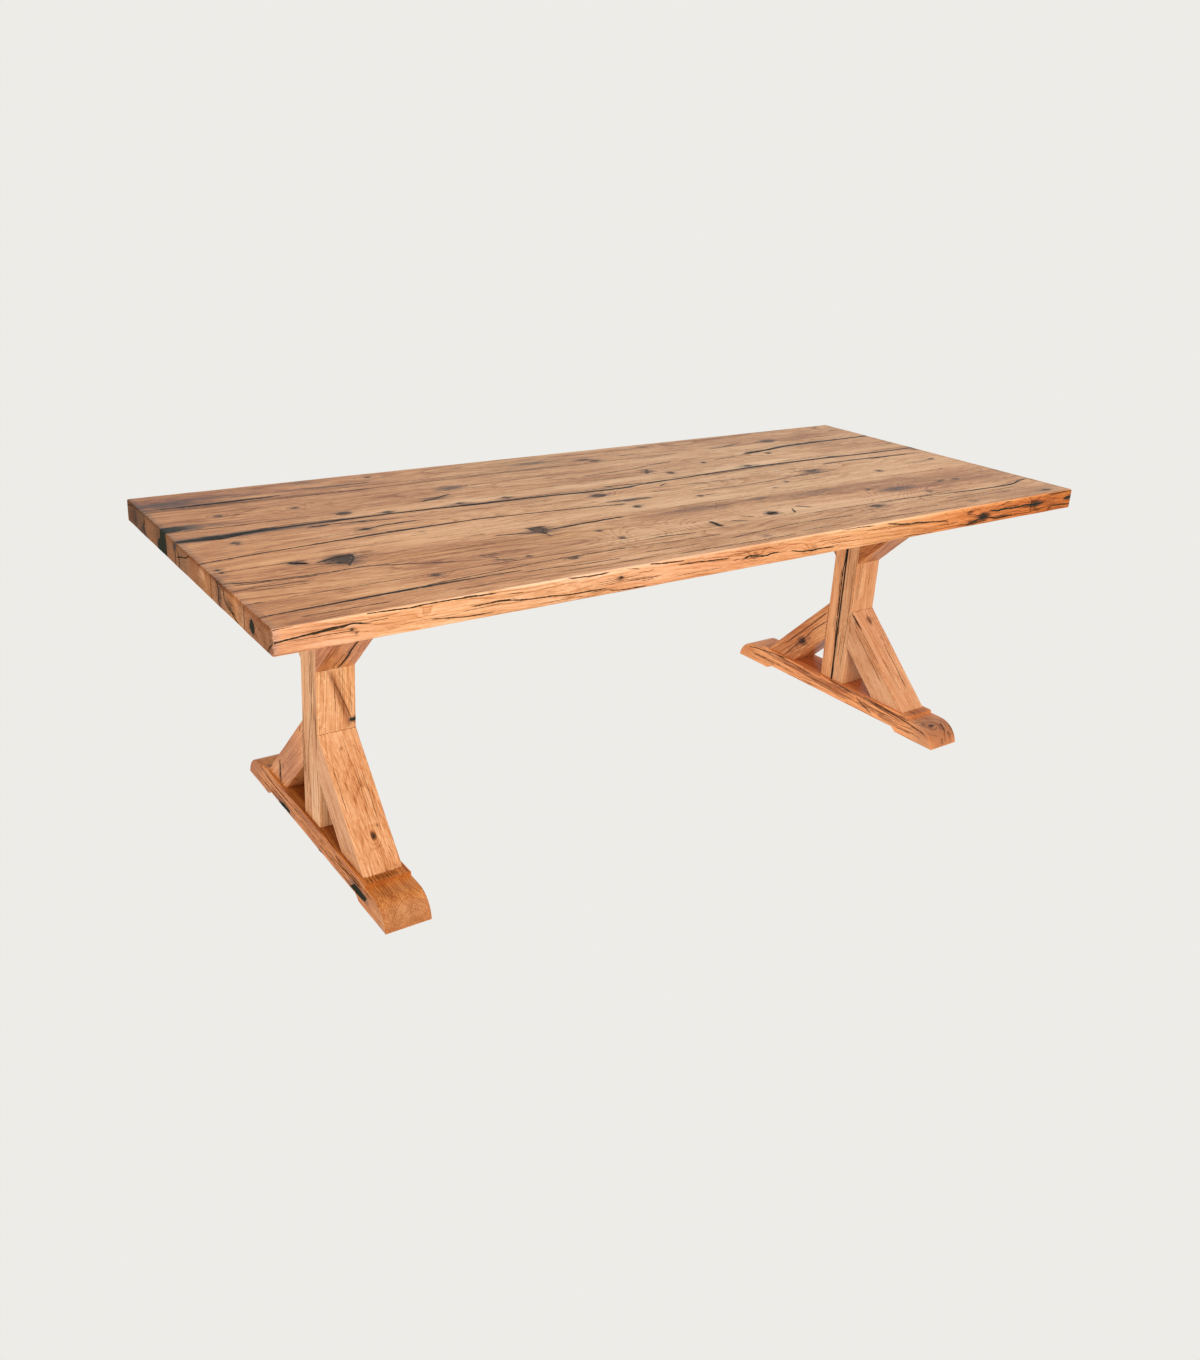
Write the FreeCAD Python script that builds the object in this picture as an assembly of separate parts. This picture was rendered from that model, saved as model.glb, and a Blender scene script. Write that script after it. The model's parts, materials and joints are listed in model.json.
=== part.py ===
import FreeCAD, Part
import math
import os

from FreeCAD import Vector

# Trestle dining table in reclaimed oak: a glued plank top bolted to two braced trestles.
# X runs along the table, Y across it with the front at -Y, and Z up.
# The origin lies on the floor, under the middle of the top. Sizes are in millimetres.

# --- Top ---
table_height = 780.0
top_length = 2400.0
top_thickness = 55.0
top_edge_radius = 4.0
back_edge_plank_width = 146.0
back_plank_width = 180.0
narrow_plank_width = 67.0
middle_plank_width = 240.0
front_plank_width = 197.0
front_edge_plank_width = 146.0

# --- Loose tongues between the planks ---
tongue_width = 40.0
tongue_thickness = 12.0
tongue_end_stop = 75.0
glue_gap = 0.15

# --- Resin in the top ---
seam_resin_depth = 14.0
shake_resin_depth = 12.0
knot_resin_depth = 16.0
end_resin_length = 45.0

# --- Trestles ---
trestle_inset = 308.0
post_width = 97.0
post_depth = 95.0
arris_chamfer = 1.5
brace_angle = 45.0
brace_depth = 86.0
lower_brace_toe_inset = 25.5
upper_brace_reach = 186.0

# --- Foot ---
foot_length = 842.0
foot_width = 114.0
foot_height = 66.0
foot_nose_length = 101.0
foot_step = 9.0
foot_nose_radius = 61.0
foot_pad_length = 138.0
foot_relief_height = 12.0
foot_relief_ramp = 17.0
foot_arris_chamfer = 3.0

# --- Bearer ---
bearer_length = 720.0
bearer_width = 114.0
bearer_height = 66.0
bearer_end_bevel = 40.0

# --- Stub tenons of the post, and loose tenons in the braces and between the staves ---
post_tenon_width = 60.0
post_tenon_depth = 60.0
foot_tenon_length = 45.0
bearer_tenon_length = 40.0
loose_tenon_thickness = 12.0
brace_tenon_height = 45.0
brace_tenon_length = 60.0
brace_tenon_inset = 75.0
stave_tenon_height = 60.0
stave_tenon_length = 50.0
stave_tenon_foot_inset = 64.0
stave_tenon_bearer_inset = 49.0
tenon_gap = 0.15

# --- Coach screws, into the brace ends and up into the top ---
screw_radius = 5.0
screw_head_width = 17.0
screw_head_height = 6.5
screw_gap = 0.1
brace_screw_bite = 55.0
brace_screw_inset = 70.0
bearer_recess_depth = 14.0
bearer_recess_radius = 13.0
top_screw_bite = 35.0
top_screw_recess_depth = 30.0
top_screw_inner_offset = 66.0
top_screw_outer_offset = 290.0
slot_travel = 8.0
washer_width = 24.0
washer_thickness = 2.0
washer_recess_gap = 2.0

# --- Resin in the trestles ---
post_resin_width = 6.0
post_resin_depth = 9.0
notch_resin_height = 6.0
notch_resin_length = 16.0
notch_resin_rise = 20.0
foot_resin_depth = 7.0

planks = (
    ("top_plank_back_edge", back_edge_plank_width),
    ("top_plank_back", back_plank_width),
    ("top_plank_narrow", narrow_plank_width),
    ("top_plank_middle", middle_plank_width),
    ("top_plank_front", front_plank_width),
    ("top_plank_front_edge", front_edge_plank_width),
)
top_width = sum(width for name, width in planks)
top_underside = table_height - top_thickness
bearer_underside = top_underside - bearer_height
trestle_spacing = top_length - 2 * trestle_inset
post_face = post_depth / 2

# The long resin seam wanders about the joint in front of the narrow plank: place along the top as a
# share of half its length, distance from that joint towards the back, and half width.
seam_resin_line = (
    (-1.000, -2.0, 5.0),
    (-0.958, -5.0, 8.0),
    (-0.921, -10.0, 13.0),
    (-0.867, 0.0, 9.0),
    (-0.800, 6.0, 5.0),
    (-0.583, 8.0, 4.0),
    (-0.467, 2.0, 4.0),
    (-0.367, -6.0, 7.0),
    (-0.200, -12.0, 5.0),
    (-0.100, -24.0, 5.0),
    (-0.008, -28.0, 4.0),
    (0.050, -18.0, 3.0),
    (0.167, -9.0, 4.0),
    (0.333, 6.0, 4.0),
    (0.442, 12.0, 6.0),
    (0.683, 10.0, 5.0),
    (0.833, 0.0, 4.0),
    (1.000, 3.0, 4.0),
)

# Resin-filled shakes that follow the grain: half width at the widest, and the line. Its points are
# shares of half the length and half the width of the top.
shake_lines = (
    (3.0, ((-1.000, -0.148), (-0.750, -0.094), (-0.433, -0.057), (-0.317, -0.078), (-0.158, -0.115))),
    (6.0, ((0.492, 0.512), (0.550, 0.525), (0.667, 0.572), (0.988, 0.598))),
    (6.0, ((-0.971, 0.742), (-0.842, 0.740), (-0.717, 0.750))),
    (3.0, ((-0.988, -0.855), (-0.833, -0.838), (-0.717, -0.824), (-0.517, -0.822))),
    (4.0, ((-0.342, -0.361), (-0.275, -0.348), (-0.192, -0.338), (-0.138, -0.336))),
    (4.0, ((0.613, 0.094), (0.733, 0.098), (0.833, 0.078), (0.925, 0.082))),
    (3.0, ((0.500, -0.711), (0.833, -0.760), (0.917, -0.750), (0.988, -0.703))),
    (4.0, ((-0.679, 0.004), (-0.613, 0.045), (-0.542, 0.045))),
)

# Resin-filled knots and old peg holes, as outlines in the same shares.
knot_outlines = (
    ((-0.800, -0.328), (-0.775, -0.299), (-0.744, -0.299), (-0.760, -0.365), (-0.772, -0.422), (-0.783, -0.369)),
    ((-0.864, -0.291), (-0.855, -0.291), (-0.833, -0.328), (-0.835, -0.344), (-0.846, -0.334)),
    ((-0.372, -0.307), (-0.343, -0.299), (-0.338, -0.361), (-0.353, -0.414), (-0.369, -0.377)),
    ((0.152, -0.615), (0.163, -0.586), (0.176, -0.598), (0.178, -0.621), (0.165, -0.639), (0.155, -0.635)),
    ((-0.004, -0.594), (0.004, -0.594), (0.006, -0.639), (0.003, -0.689), (-0.003, -0.689), (-0.006, -0.639)),
    ((-0.108, 0.072), (-0.095, 0.092), (-0.080, 0.082), (-0.077, 0.049), (-0.090, 0.027), (-0.105, 0.043)),
    ((-0.667, 0.307), (-0.653, 0.330), (-0.640, 0.316), (-0.638, 0.293), (-0.650, 0.285), (-0.662, 0.291)),
)

# The block of resin that fills the missing corner at the left end, as seen on the end face: distance
# behind the joint between the back plank and the narrow plank, and height as a share of the thickness.
end_resin_outline = ((46.0, 1.0), (48.0, 0.6), (71.0, 0.33), (68.0, 0.0), (0.0, 0.0), (0.0, 0.5), (6.0, 1.0))

# Resin patches on the outer side of the left foot: Y and Z.
foot_resin_outlines = (
    ((-236.0, 17.0), (-262.0, 37.0), (-326.0, 36.0), (-318.0, 24.0), (-286.0, 19.0)),
    ((208.0, 14.0), (176.0, 24.0), (140.0, 27.0), (128.0, 18.0), (170.0, 15.0)),
)


def block(x_range, y_range, z_range):
    corner = Vector(x_range[0], y_range[0], z_range[0])
    sizes = [high - low for low, high in (x_range, y_range, z_range)]
    return Part.makeBox(*sizes, corner)


def centred_block(x_size, y_size, z_range):
    return block((-x_size / 2, x_size / 2), (-y_size / 2, y_size / 2), z_range)


def prism_along_x(outline, x_range):
    points = [Vector(x_range[0], y, z) for y, z in outline]
    face = Part.Face(Part.makePolygon(points + points[:1]))
    return face.extrude(Vector(x_range[1] - x_range[0], 0, 0))


def prism_along_z(outline, z_range):
    points = [Vector(x, y, z_range[0]) for x, y in outline]
    face = Part.Face(Part.makePolygon(points + points[:1]))
    return face.extrude(Vector(0, 0, z_range[1] - z_range[0]))


def cylinder_up(radius, x, y, z_range):
    return Part.makeCylinder(radius, z_range[1] - z_range[0], Vector(x, y, z_range[0]))


def mirrored_across(shape):
    return shape.mirror(Vector(0, 0, 0), Vector(0, 1, 0))


def cut_all(shape, tools):
    return shape.cut(list(tools)) if tools else shape


def straight_edges(shape, direction):
    unit = Vector(*direction).normalize()
    lines = [edge for edge in shape.Edges if edge.Curve.TypeId == "Part::GeomLine"]
    return [edge for edge in lines if abs(edge.tangentAt(edge.FirstParameter).dot(unit)) > 0.9999]


# --- The top ---

def plank_spans():
    # Front and back limits of each plank, from the back edge to the front edge.
    spans = {}
    back = top_width / 2
    for name, width in planks:
        spans[name] = (back - width, back)
        back -= width
    return spans


def joint_lines():
    # Y of each glued joint, from the back to the front.
    return [front for front, back in list(plank_spans().values())[:-1]]


def seam_joint():
    return plank_spans()["top_plank_narrow"][0]


def end_resin_joint():
    return plank_spans()["top_plank_narrow"][1]


def top_slab():
    slab = centred_block(top_length, top_width, (top_underside, table_height))
    outer = [edge for edge in slab.Edges if abs(edge.CenterOfMass.z - table_height + top_thickness / 2) > 1.0]
    return slab.makeFillet(top_edge_radius, outer)


def tongue(joint, gap):
    # One loose tongue across a joint; the gap is the play of its groove on every side.
    half_length = top_length / 2 - tongue_end_stop + gap
    half_width = tongue_width / 2 + gap
    half_height = tongue_thickness / 2 + gap
    level = table_height - top_thickness / 2
    return block(
        (-half_length, half_length),
        (joint - half_width, joint + half_width),
        (level - half_height, level + half_height),
    )


def on_top(shares):
    return shares[0] * top_length / 2, shares[1] * top_width / 2


def ribbon(line):
    # Closed outline of a strip along a line of (x, y, half width), pointed where the half width is 0.
    left = [(x, y + half) for x, y, half in line]
    right = [(x, y - half) for x, y, half in reversed(line) if half > 0]
    return left + right


def tapered(points, half_width):
    # A shake is widest in the middle and comes to a point at both ends.
    last = len(points) - 1
    shares = [math.sin(math.pi * index / last) for index in range(last + 1)]
    shares[0] = shares[-1] = 0.0
    return [(*on_top(point), half_width * share) for point, share in zip(points, shares)]


def surface_fill(outline, depth):
    return prism_along_z(outline, (table_height - depth, table_height))


def seam_resin():
    line = [(share * top_length / 2, seam_joint() + offset, half) for share, offset, half in seam_resin_line]
    fill = surface_fill(ribbon(line), seam_resin_depth)
    return fill.common(top_slab())


def shake_resin():
    fills = [surface_fill(ribbon(tapered(points, half)), shake_resin_depth) for half, points in shake_lines]
    return [fill.common(top_slab()) for fill in fills]


def knot_resin():
    outlines = [[on_top(point) for point in outline] for outline in knot_outlines]
    return [surface_fill(outline, knot_resin_depth) for outline in outlines]


def end_resin():
    joint = end_resin_joint()
    outline = [(joint + behind, top_underside + share * top_thickness) for behind, share in end_resin_outline]
    end = -top_length / 2
    return prism_along_x(outline, (end, end + end_resin_length)).common(top_slab())


def top_screw_offsets():
    return (-top_screw_outer_offset, -top_screw_inner_offset, top_screw_inner_offset, top_screw_outer_offset)


def top_screw_holes():
    # Pilot holes up into the underside of the planks, over both bearers.
    holes = []
    for side in (-1, 1):
        for y in top_screw_offsets():
            hole = coach_screw_shank(y, top_screw_head_seat(), top_underside, top_screw_bite, screw_gap)
            holes.append(hole.translated(Vector(side * trestle_spacing / 2, 0, 0)))
    return holes


def top_parts():
    slab = top_slab()
    fills = [seam_resin(), end_resin()] + shake_resin() + knot_resin()
    grooves = [tongue(joint, glue_gap) for joint in joint_lines()]
    worked = cut_all(slab, grooves + fills + top_screw_holes())
    parts = {}
    for name, (front, back) in plank_spans().items():
        half = top_length / 2
        parts[name] = worked.common(block((-half, half), (front, back), (top_underside, table_height)))
    parts["top_tongues"] = Part.makeCompound([tongue(joint, 0.0) for joint in joint_lines()])
    parts["top_end_resin"] = end_resin()
    parts["top_seam_resin"] = seam_resin()
    parts["top_shake_resin"] = Part.makeCompound(shake_resin())
    parts["top_knot_resin"] = Part.makeCompound(knot_resin())
    return parts


# --- One trestle, built about X = 0 ---

def foot_outline():
    # Half of the side view, from the middle of the relief out to the toe and back over the nose.
    half = foot_length / 2
    platform = half - foot_nose_length
    nose_top = foot_height - foot_step
    centre_z = nose_top - foot_nose_radius
    toe_angle = math.asin(-centre_z / foot_nose_radius)
    centre_y = half - foot_nose_radius * math.cos(toe_angle)
    middle_angle = (toe_angle + math.pi / 2) / 2
    nose_middle = (
        centre_y + foot_nose_radius * math.cos(middle_angle),
        centre_z + foot_nose_radius * math.sin(middle_angle),
    )
    pad_start = half - foot_pad_length
    below = [(0.0, foot_relief_height), (pad_start - foot_relief_ramp, foot_relief_height), (pad_start, 0.0),
             (half, 0.0)]
    above = [(centre_y, nose_top), (platform, nose_top), (platform, foot_height), (0.0, foot_height)]
    return below, nose_middle, above


def foot_blank():
    below, nose_middle, above = foot_outline()

    def place(point):
        return Vector(-foot_width / 2, point[0], point[1])

    edges = [Part.LineSegment(place(a), place(b)).toShape() for a, b in zip(below, below[1:])]
    edges.append(Part.Arc(place(below[-1]), place(nose_middle), place(above[0])).toShape())
    edges += [Part.LineSegment(place(a), place(b)).toShape() for a, b in zip(above, above[1:])]
    edges.append(Part.LineSegment(place(above[-1]), place(below[0])).toShape())
    half = Part.Face(Part.Wire(edges)).extrude(Vector(foot_width, 0, 0))
    blank = half.fuse(mirrored_across(half)).removeSplitter()
    return blank.makeChamfer(foot_arris_chamfer, foot_arrises(blank))


def foot_arrises(blank):
    # Long arrises of the raised platform, on both sides.
    return [edge for edge in straight_edges(blank, (0, 1, 0))
            if abs(edge.CenterOfMass.z - foot_height) < 0.01]


def bearer_blank():
    half = bearer_length / 2
    full = half - bearer_end_bevel
    shoulder = top_underside - bearer_height + bearer_end_bevel
    outline = [(-half, top_underside), (half, top_underside), (half, shoulder), (full, bearer_underside),
               (-full, bearer_underside), (-half, shoulder)]
    return prism_along_x(outline, (-bearer_width / 2, bearer_width / 2))


def brace_slope():
    return math.tan(math.radians(brace_angle))


def lower_brace_levels():
    # The lower braces stand just inside the ends of the foot's platform.
    reach = foot_length / 2 - foot_nose_length - lower_brace_toe_inset - post_face
    return foot_height + reach * brace_slope(), foot_height


def upper_brace_levels():
    return bearer_underside - upper_brace_reach * brace_slope(), bearer_underside


def brace_outline(corner, seat):
    # Side view in Y and Z of a front or back brace: corner is the height where its outer face meets
    # the post, and seat the level of the face that its other end stands on.
    slope = brace_slope()
    reach = abs(corner - seat) / slope
    drop = brace_depth / math.cos(math.radians(brace_angle))
    inner_corner = corner + math.copysign(drop, seat - corner)
    inner_reach = reach - drop / slope
    return [(post_face, corner), (post_face + reach, seat), (post_face + inner_reach, seat),
            (post_face, inner_corner)]


def brace_blank(corner, seat):
    outline = brace_outline(corner, seat)
    blank = prism_along_x(outline, (-post_width / 2, post_width / 2))
    slope = (0, outline[1][0] - outline[0][0], outline[1][1] - outline[0][1])
    return blank.makeChamfer(arris_chamfer, straight_edges(blank, slope))


def brace_tenon(corner, seat, gap):
    # A loose tenon between the post and the back brace, where the brace is deep enough to hold it.
    level = corner + math.copysign(brace_tenon_inset, seat - corner)
    half_length = brace_tenon_length / 2 + gap
    half_height = brace_tenon_height / 2 + gap
    half_thickness = loose_tenon_thickness / 2 + gap
    return block(
        (-half_thickness, half_thickness),
        (post_face - half_length, post_face + half_length),
        (level - half_height, level + half_height),
    )


def brace_tenons(gap):
    back = [brace_tenon(*levels, gap) for levels in (lower_brace_levels(), upper_brace_levels())]
    return back + [mirrored_across(tenon) for tenon in back]


def stave_tenons(gap):
    # Loose tenons that line the two staves up when they are glued: near both ends of the post, and
    # half way between the braces.
    middle = (lower_brace_levels()[0] + upper_brace_levels()[0]) / 2
    return [
        centred_block(
            loose_tenon_thickness + 2 * gap,
            stave_tenon_length + 2 * gap,
            (level - stave_tenon_height / 2 - gap, level + stave_tenon_height / 2 + gap),
        )
        for level in (foot_height + stave_tenon_foot_inset, middle, bearer_underside - stave_tenon_bearer_inset)
    ]


def coach_screw_shank(y, head_seat, face, bite, gap):
    # The shank runs from under the head through one piece, and bites into the next from its face.
    tip = face + math.copysign(bite + gap, face - head_seat)
    return cylinder_up(screw_radius + gap, 0, y, sorted((head_seat, tip)))


def coach_screw(y, head_seat, face, bite):
    way = math.copysign(1.0, face - head_seat)
    corner_radius = screw_head_width / 2 / math.cos(math.pi / 6)
    angles = [math.pi / 3 * step for step in range(6)]
    corners = [(corner_radius * math.cos(angle), y + corner_radius * math.sin(angle)) for angle in angles]
    head = prism_along_z(corners, sorted((head_seat, head_seat - way * screw_head_height)))
    return head.fuse(coach_screw_shank(y, head_seat, face, bite, 0.0)).removeSplitter()


def both_ways(solids):
    return solids + [mirrored_across(solid) for solid in solids]


def brace_screw_place(levels):
    corner, face = levels
    return brace_outline(corner, face)[1][0] - brace_screw_inset, face


def foot_screw_set():
    # The heads stand in the relief under the foot, clear of the floor.
    y, face = brace_screw_place(lower_brace_levels())
    screw = coach_screw(y, foot_relief_height, face, brace_screw_bite)
    hole = coach_screw_shank(y, foot_relief_height, face, brace_screw_bite, screw_gap)
    return both_ways([screw]), both_ways([hole])


def bearer_screw_set():
    # The heads are sunk below the top of the bearer, which the planks lie on.
    y, face = brace_screw_place(upper_brace_levels())
    seat = top_underside - bearer_recess_depth
    screw = coach_screw(y, seat, face, brace_screw_bite)
    hole = coach_screw_shank(y, seat, face, brace_screw_bite, screw_gap)
    recess = cylinder_up(bearer_recess_radius, 0, y, (seat, top_underside))
    return both_ways([screw]), both_ways([hole, recess])


def brace_pair(levels, cuts):
    back = brace_blank(*levels)
    pair = {"back": back, "front": mirrored_across(back)}
    return {place: cut_all(solid, cuts + brace_tenons(tenon_gap)) for place, solid in pair.items()}


def post_tenons(gap):
    foot_end = centred_block(
        post_tenon_width + 2 * gap,
        post_tenon_depth + 2 * gap,
        (foot_height - foot_tenon_length - gap, foot_height),
    )
    bearer_end = centred_block(
        post_tenon_width + 2 * gap,
        post_tenon_depth + 2 * gap,
        (bearer_underside, bearer_underside + bearer_tenon_length + gap),
    )
    return foot_end, bearer_end


def post_shaft():
    shaft = centred_block(post_width, post_depth, (foot_height, bearer_underside))
    return shaft.makeChamfer(arris_chamfer, straight_edges(shaft, (0, 0, 1)))


def post_staves(resin):
    # The post is in two along its height: the front and the back stave, each with half a tenon.
    post = post_shaft().fuse(list(post_tenons(0.0))).removeSplitter()
    post = cut_all(post, stave_tenons(tenon_gap) + brace_tenons(tenon_gap) + [resin])
    back_half = block((-post_width, post_width), (0, post_depth), (0, table_height))
    return {"back": post.common(back_half), "front": post.common(mirrored_across(back_half))}


def washer_seat():
    return bearer_underside + top_screw_recess_depth


def top_screw_head_seat():
    return washer_seat() - washer_thickness


def top_screws():
    return [coach_screw(y, top_screw_head_seat(), top_underside, top_screw_bite) for y in top_screw_offsets()]


def top_washers():
    # Square plate washers that bridge the slots.
    half = washer_width / 2
    span = (top_screw_head_seat(), washer_seat())
    return [
        block((-half, half), (y - half, y + half), span).cut(cylinder_up(screw_radius + screw_gap, 0, y, span))
        for y in top_screw_offsets()
    ]


def top_screw_slots():
    # Mortised slots let the top swell and shrink on its screws; each washer slides in a recess.
    cuts = []
    for half, span in (
        (screw_radius + screw_gap, (washer_seat(), top_underside)),
        (washer_width / 2 + washer_recess_gap, (bearer_underside, washer_seat())),
    ):
        reach = half + slot_travel / 2
        cuts += [block((-half, half), (y - reach, y + reach), span) for y in top_screw_offsets()]
    return cuts


def post_seam_resin():
    # A tapering strip of resin down the joint of the two staves, on the -X face.
    face = -post_width / 2
    outline = [(face, -post_resin_width / 2), (face, post_resin_width / 2), (face + post_resin_depth, 0.0)]
    return prism_along_z(outline, (foot_height, bearer_underside))


def post_notch_resin():
    # A nick at the front right arris of the left post, just above the lower brace.
    corner = (post_width / 2, -post_face)
    outline = [corner, (corner[0], corner[1] + notch_resin_length / 2), (corner[0] - notch_resin_length, corner[1])]
    level = lower_brace_levels()[0] + notch_resin_rise
    span = (level, level + notch_resin_height)
    return prism_along_z(outline, span).common(post_shaft())


def foot_side_resin():
    face = -foot_width / 2
    return [prism_along_x(outline, (face, face + foot_resin_depth)) for outline in foot_resin_outlines]


def trestle_parts(post_resin, foot_resin):
    foot_screws, foot_cuts = foot_screw_set()
    bearer_screws, bearer_cuts = bearer_screw_set()
    foot_mortise, bearer_mortise = post_tenons(tenon_gap)
    staves = post_staves(post_resin)
    lower = brace_pair(lower_brace_levels(), foot_cuts)
    upper = brace_pair(upper_brace_levels(), bearer_cuts)
    parts = {
        "foot": cut_all(foot_blank(), [foot_mortise] + foot_cuts + foot_resin),
        "bearer": cut_all(bearer_blank(), [bearer_mortise] + bearer_cuts + top_screw_slots()),
        "post_front_stave": staves["front"],
        "post_back_stave": staves["back"],
        "post_resin": post_resin,
        "stave_tenons": Part.makeCompound(stave_tenons(0.0)),
        "brace_tenons": Part.makeCompound(brace_tenons(0.0)),
        "lower_brace_front": lower["front"],
        "lower_brace_back": lower["back"],
        "upper_brace_front": upper["front"],
        "upper_brace_back": upper["back"],
        "foot_screws": Part.makeCompound(foot_screws),
        "bearer_screws": Part.makeCompound(bearer_screws),
        "top_screws": Part.makeCompound(top_screws()),
        "top_washers": Part.makeCompound(top_washers()),
    }
    if foot_resin:
        parts["foot_resin"] = Part.makeCompound(foot_resin)
    return parts


def table_parts():
    parts = top_parts()
    trestles = {
        "left": (-1, trestle_parts(post_notch_resin(), foot_side_resin())),
        "right": (1, trestle_parts(post_seam_resin(), [])),
    }
    for side, (sign, solids) in trestles.items():
        for name, shape in solids.items():
            parts[f"{side}_{name}"] = shape.translated(Vector(sign * trestle_spacing / 2, 0, 0))
    return parts


os.makedirs("parts", exist_ok=True)
for node, shape in table_parts().items():
    shape.exportStep(f"parts/{node}.step")
    print(f"{node:28s} solids {len(shape.Solids):3d}  volume {shape.Volume / 1000:10.1f} cm3")
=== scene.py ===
import json
import math
from functools import partial

import bmesh
import bpy
import numpy as np
from mathutils import Matrix, Vector


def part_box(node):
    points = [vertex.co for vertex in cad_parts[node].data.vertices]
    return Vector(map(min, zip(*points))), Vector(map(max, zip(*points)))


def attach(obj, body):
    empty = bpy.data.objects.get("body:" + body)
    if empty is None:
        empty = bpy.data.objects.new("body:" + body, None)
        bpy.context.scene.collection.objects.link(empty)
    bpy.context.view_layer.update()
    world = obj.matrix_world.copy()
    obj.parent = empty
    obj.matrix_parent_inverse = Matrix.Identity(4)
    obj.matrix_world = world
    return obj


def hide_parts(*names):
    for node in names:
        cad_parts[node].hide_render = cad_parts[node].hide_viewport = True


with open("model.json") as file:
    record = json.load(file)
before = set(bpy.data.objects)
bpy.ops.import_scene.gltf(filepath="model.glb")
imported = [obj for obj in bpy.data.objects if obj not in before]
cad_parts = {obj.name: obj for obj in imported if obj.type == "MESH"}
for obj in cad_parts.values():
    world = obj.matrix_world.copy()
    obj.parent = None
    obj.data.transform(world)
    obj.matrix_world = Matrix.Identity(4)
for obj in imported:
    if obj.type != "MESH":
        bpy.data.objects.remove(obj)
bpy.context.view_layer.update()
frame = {"nodes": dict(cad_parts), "record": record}
mm = 0.001
print("frame loaded")


def linear(hexColour):
    channels = [int(hexColour[place:place + 2], 16) / 255 for place in (1, 3, 5)]
    return [c / 12.92 if c <= 0.04045 else ((c + 0.055) / 1.055) ** 2.4 for c in channels] + [1.0]


def addNode(tree, kind, inputs=None, **settings):
    # An input takes a plain value, a socket, or a node, which gives its first output.
    made = tree.nodes.new(kind)
    for name, value in settings.items():
        setattr(made, name, value)
    for key, value in (inputs or {}).items():
        if isinstance(value, bpy.types.Node):
            value = value.outputs[0]
        if isinstance(value, bpy.types.NodeSocket):
            tree.links.new(value, made.inputs[key])
        else:
            made.inputs[key].default_value = value
    return made


def newMaterial(name):
    # Gives the material, and addNode bound to its tree.
    material = bpy.data.materials.new(name)
    material.use_nodes = True
    material.node_tree.nodes.clear()
    return material, partial(addNode, material.node_tree)


def addObject(name, data):
    made = bpy.data.objects.new(name, data)
    bpy.context.scene.collection.objects.link(made)
    return made


def smooth(value, low, high):
    share = np.clip((value - low) / (high - low), 0.0, 1.0)
    return share * share * (3.0 - 2.0 * share)


def wobble(place, wavelength, seed):
    # Wanders between about -1 and 1 along a length: four waves, each shorter and lower than the last.
    shorter, lower, count, most = 1.7, 1.6, 4, 1.8
    phases = np.random.default_rng(seed).uniform(0.0, 2.0 * math.pi, count)
    waves = [np.sin(2.0 * math.pi * place * shorter ** k / wavelength + phases[k]) / lower ** k for k in range(count)]
    return sum(waves) / most


def stations(low, high, step, close=()):
    # Places for the lines of a grid: even steps between the ends, and some closer to each end.
    inner = low + close[-1] if close else low
    outer = high - close[-1] if close else high
    even = np.linspace(inner, outer, max(1, round((outer - inner) / step)) + 1)
    near = np.array(close[:-1])
    return np.concatenate([[low], low + near, even, high - near[::-1], [high]]) if close else even


def boxGrid(*places):
    # A box that is cut at the given places along its three edges: its points, and quads that face outwards.
    counts = [len(along) for along in places]
    ids = np.arange(int(np.prod(counts))).reshape(counts)
    quads = []
    for sheet, flipped in ((ids[0], True), (ids[-1], False), (ids[:, 0], False), (ids[:, -1], True),
                           (ids[:, :, 0], True), (ids[:, :, -1], False)):
        quad = np.stack([sheet[:-1, :-1], sheet[1:, :-1], sheet[1:, 1:], sheet[:-1, 1:]], axis=-1).reshape(-1, 4)
        quads.append(quad[:, ::-1] if flipped else quad)
    used, faces = np.unique(np.concatenate(quads), return_inverse=True)
    points = [along[index] for along, index in zip(places, np.unravel_index(used, counts))]
    return np.stack(points, axis=1), faces.reshape(-1, 4)


def rounded(points, low, high, radius):
    # Draws the corner zones of a box in to arcs; places inside a corner zone follow.
    inner = np.clip(points, low + radius, high - radius)
    out = points - inner
    length = np.linalg.norm(out, axis=1, keepdims=True)
    longest = np.abs(out).max(axis=1, keepdims=True)
    return inner + out * longest / np.maximum(length, 1e-9)


def addFields(mesh, fields):
    for key, values in fields.items():
        kind, slot = ("FLOAT_VECTOR", "vector") if values.ndim == 2 else ("FLOAT", "value")
        mesh.attributes.new(key, kind, "POINT").data.foreach_set(slot, values.astype(np.float32).ravel())


def addEndGrain(mesh, along):
    # How far each place looks along the grain, 1 on a cut end, and how upright its face stands.
    normals = np.empty(len(mesh.vertices) * 3, dtype=np.float32)
    mesh.vertices.foreach_get("normal", normals)
    normals = normals.reshape(-1, 3)
    share = np.abs(normals @ np.array(along, dtype=np.float32))
    addFields(mesh, {"endGrain": smooth(share, 0.25, 0.95), "side": 1.0 - smooth(np.abs(normals[:, 2]), 0.3, 0.9)})


def meshObject(name, points, faces, fields, material):
    # Points are in millimetres; arrises sharper than 40 degrees stay crisp.
    mesh = bpy.data.meshes.new(name)
    mesh.vertices.add(len(points))
    mesh.vertices.foreach_set("co", (points * mm).astype(np.float32).ravel())
    mesh.loops.add(faces.size)
    mesh.loops.foreach_set("vertex_index", faces.astype(np.int32).ravel())
    mesh.polygons.add(len(faces))
    mesh.polygons.foreach_set("loop_start", np.arange(0, faces.size, faces.shape[1], dtype=np.int32))
    mesh.update(calc_edges=True)
    addFields(mesh, fields)
    mesh.materials.append(material)
    mesh.shade_smooth()
    mesh.set_sharp_from_angle(angle=math.radians(40))
    return addObject(name, mesh)


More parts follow.
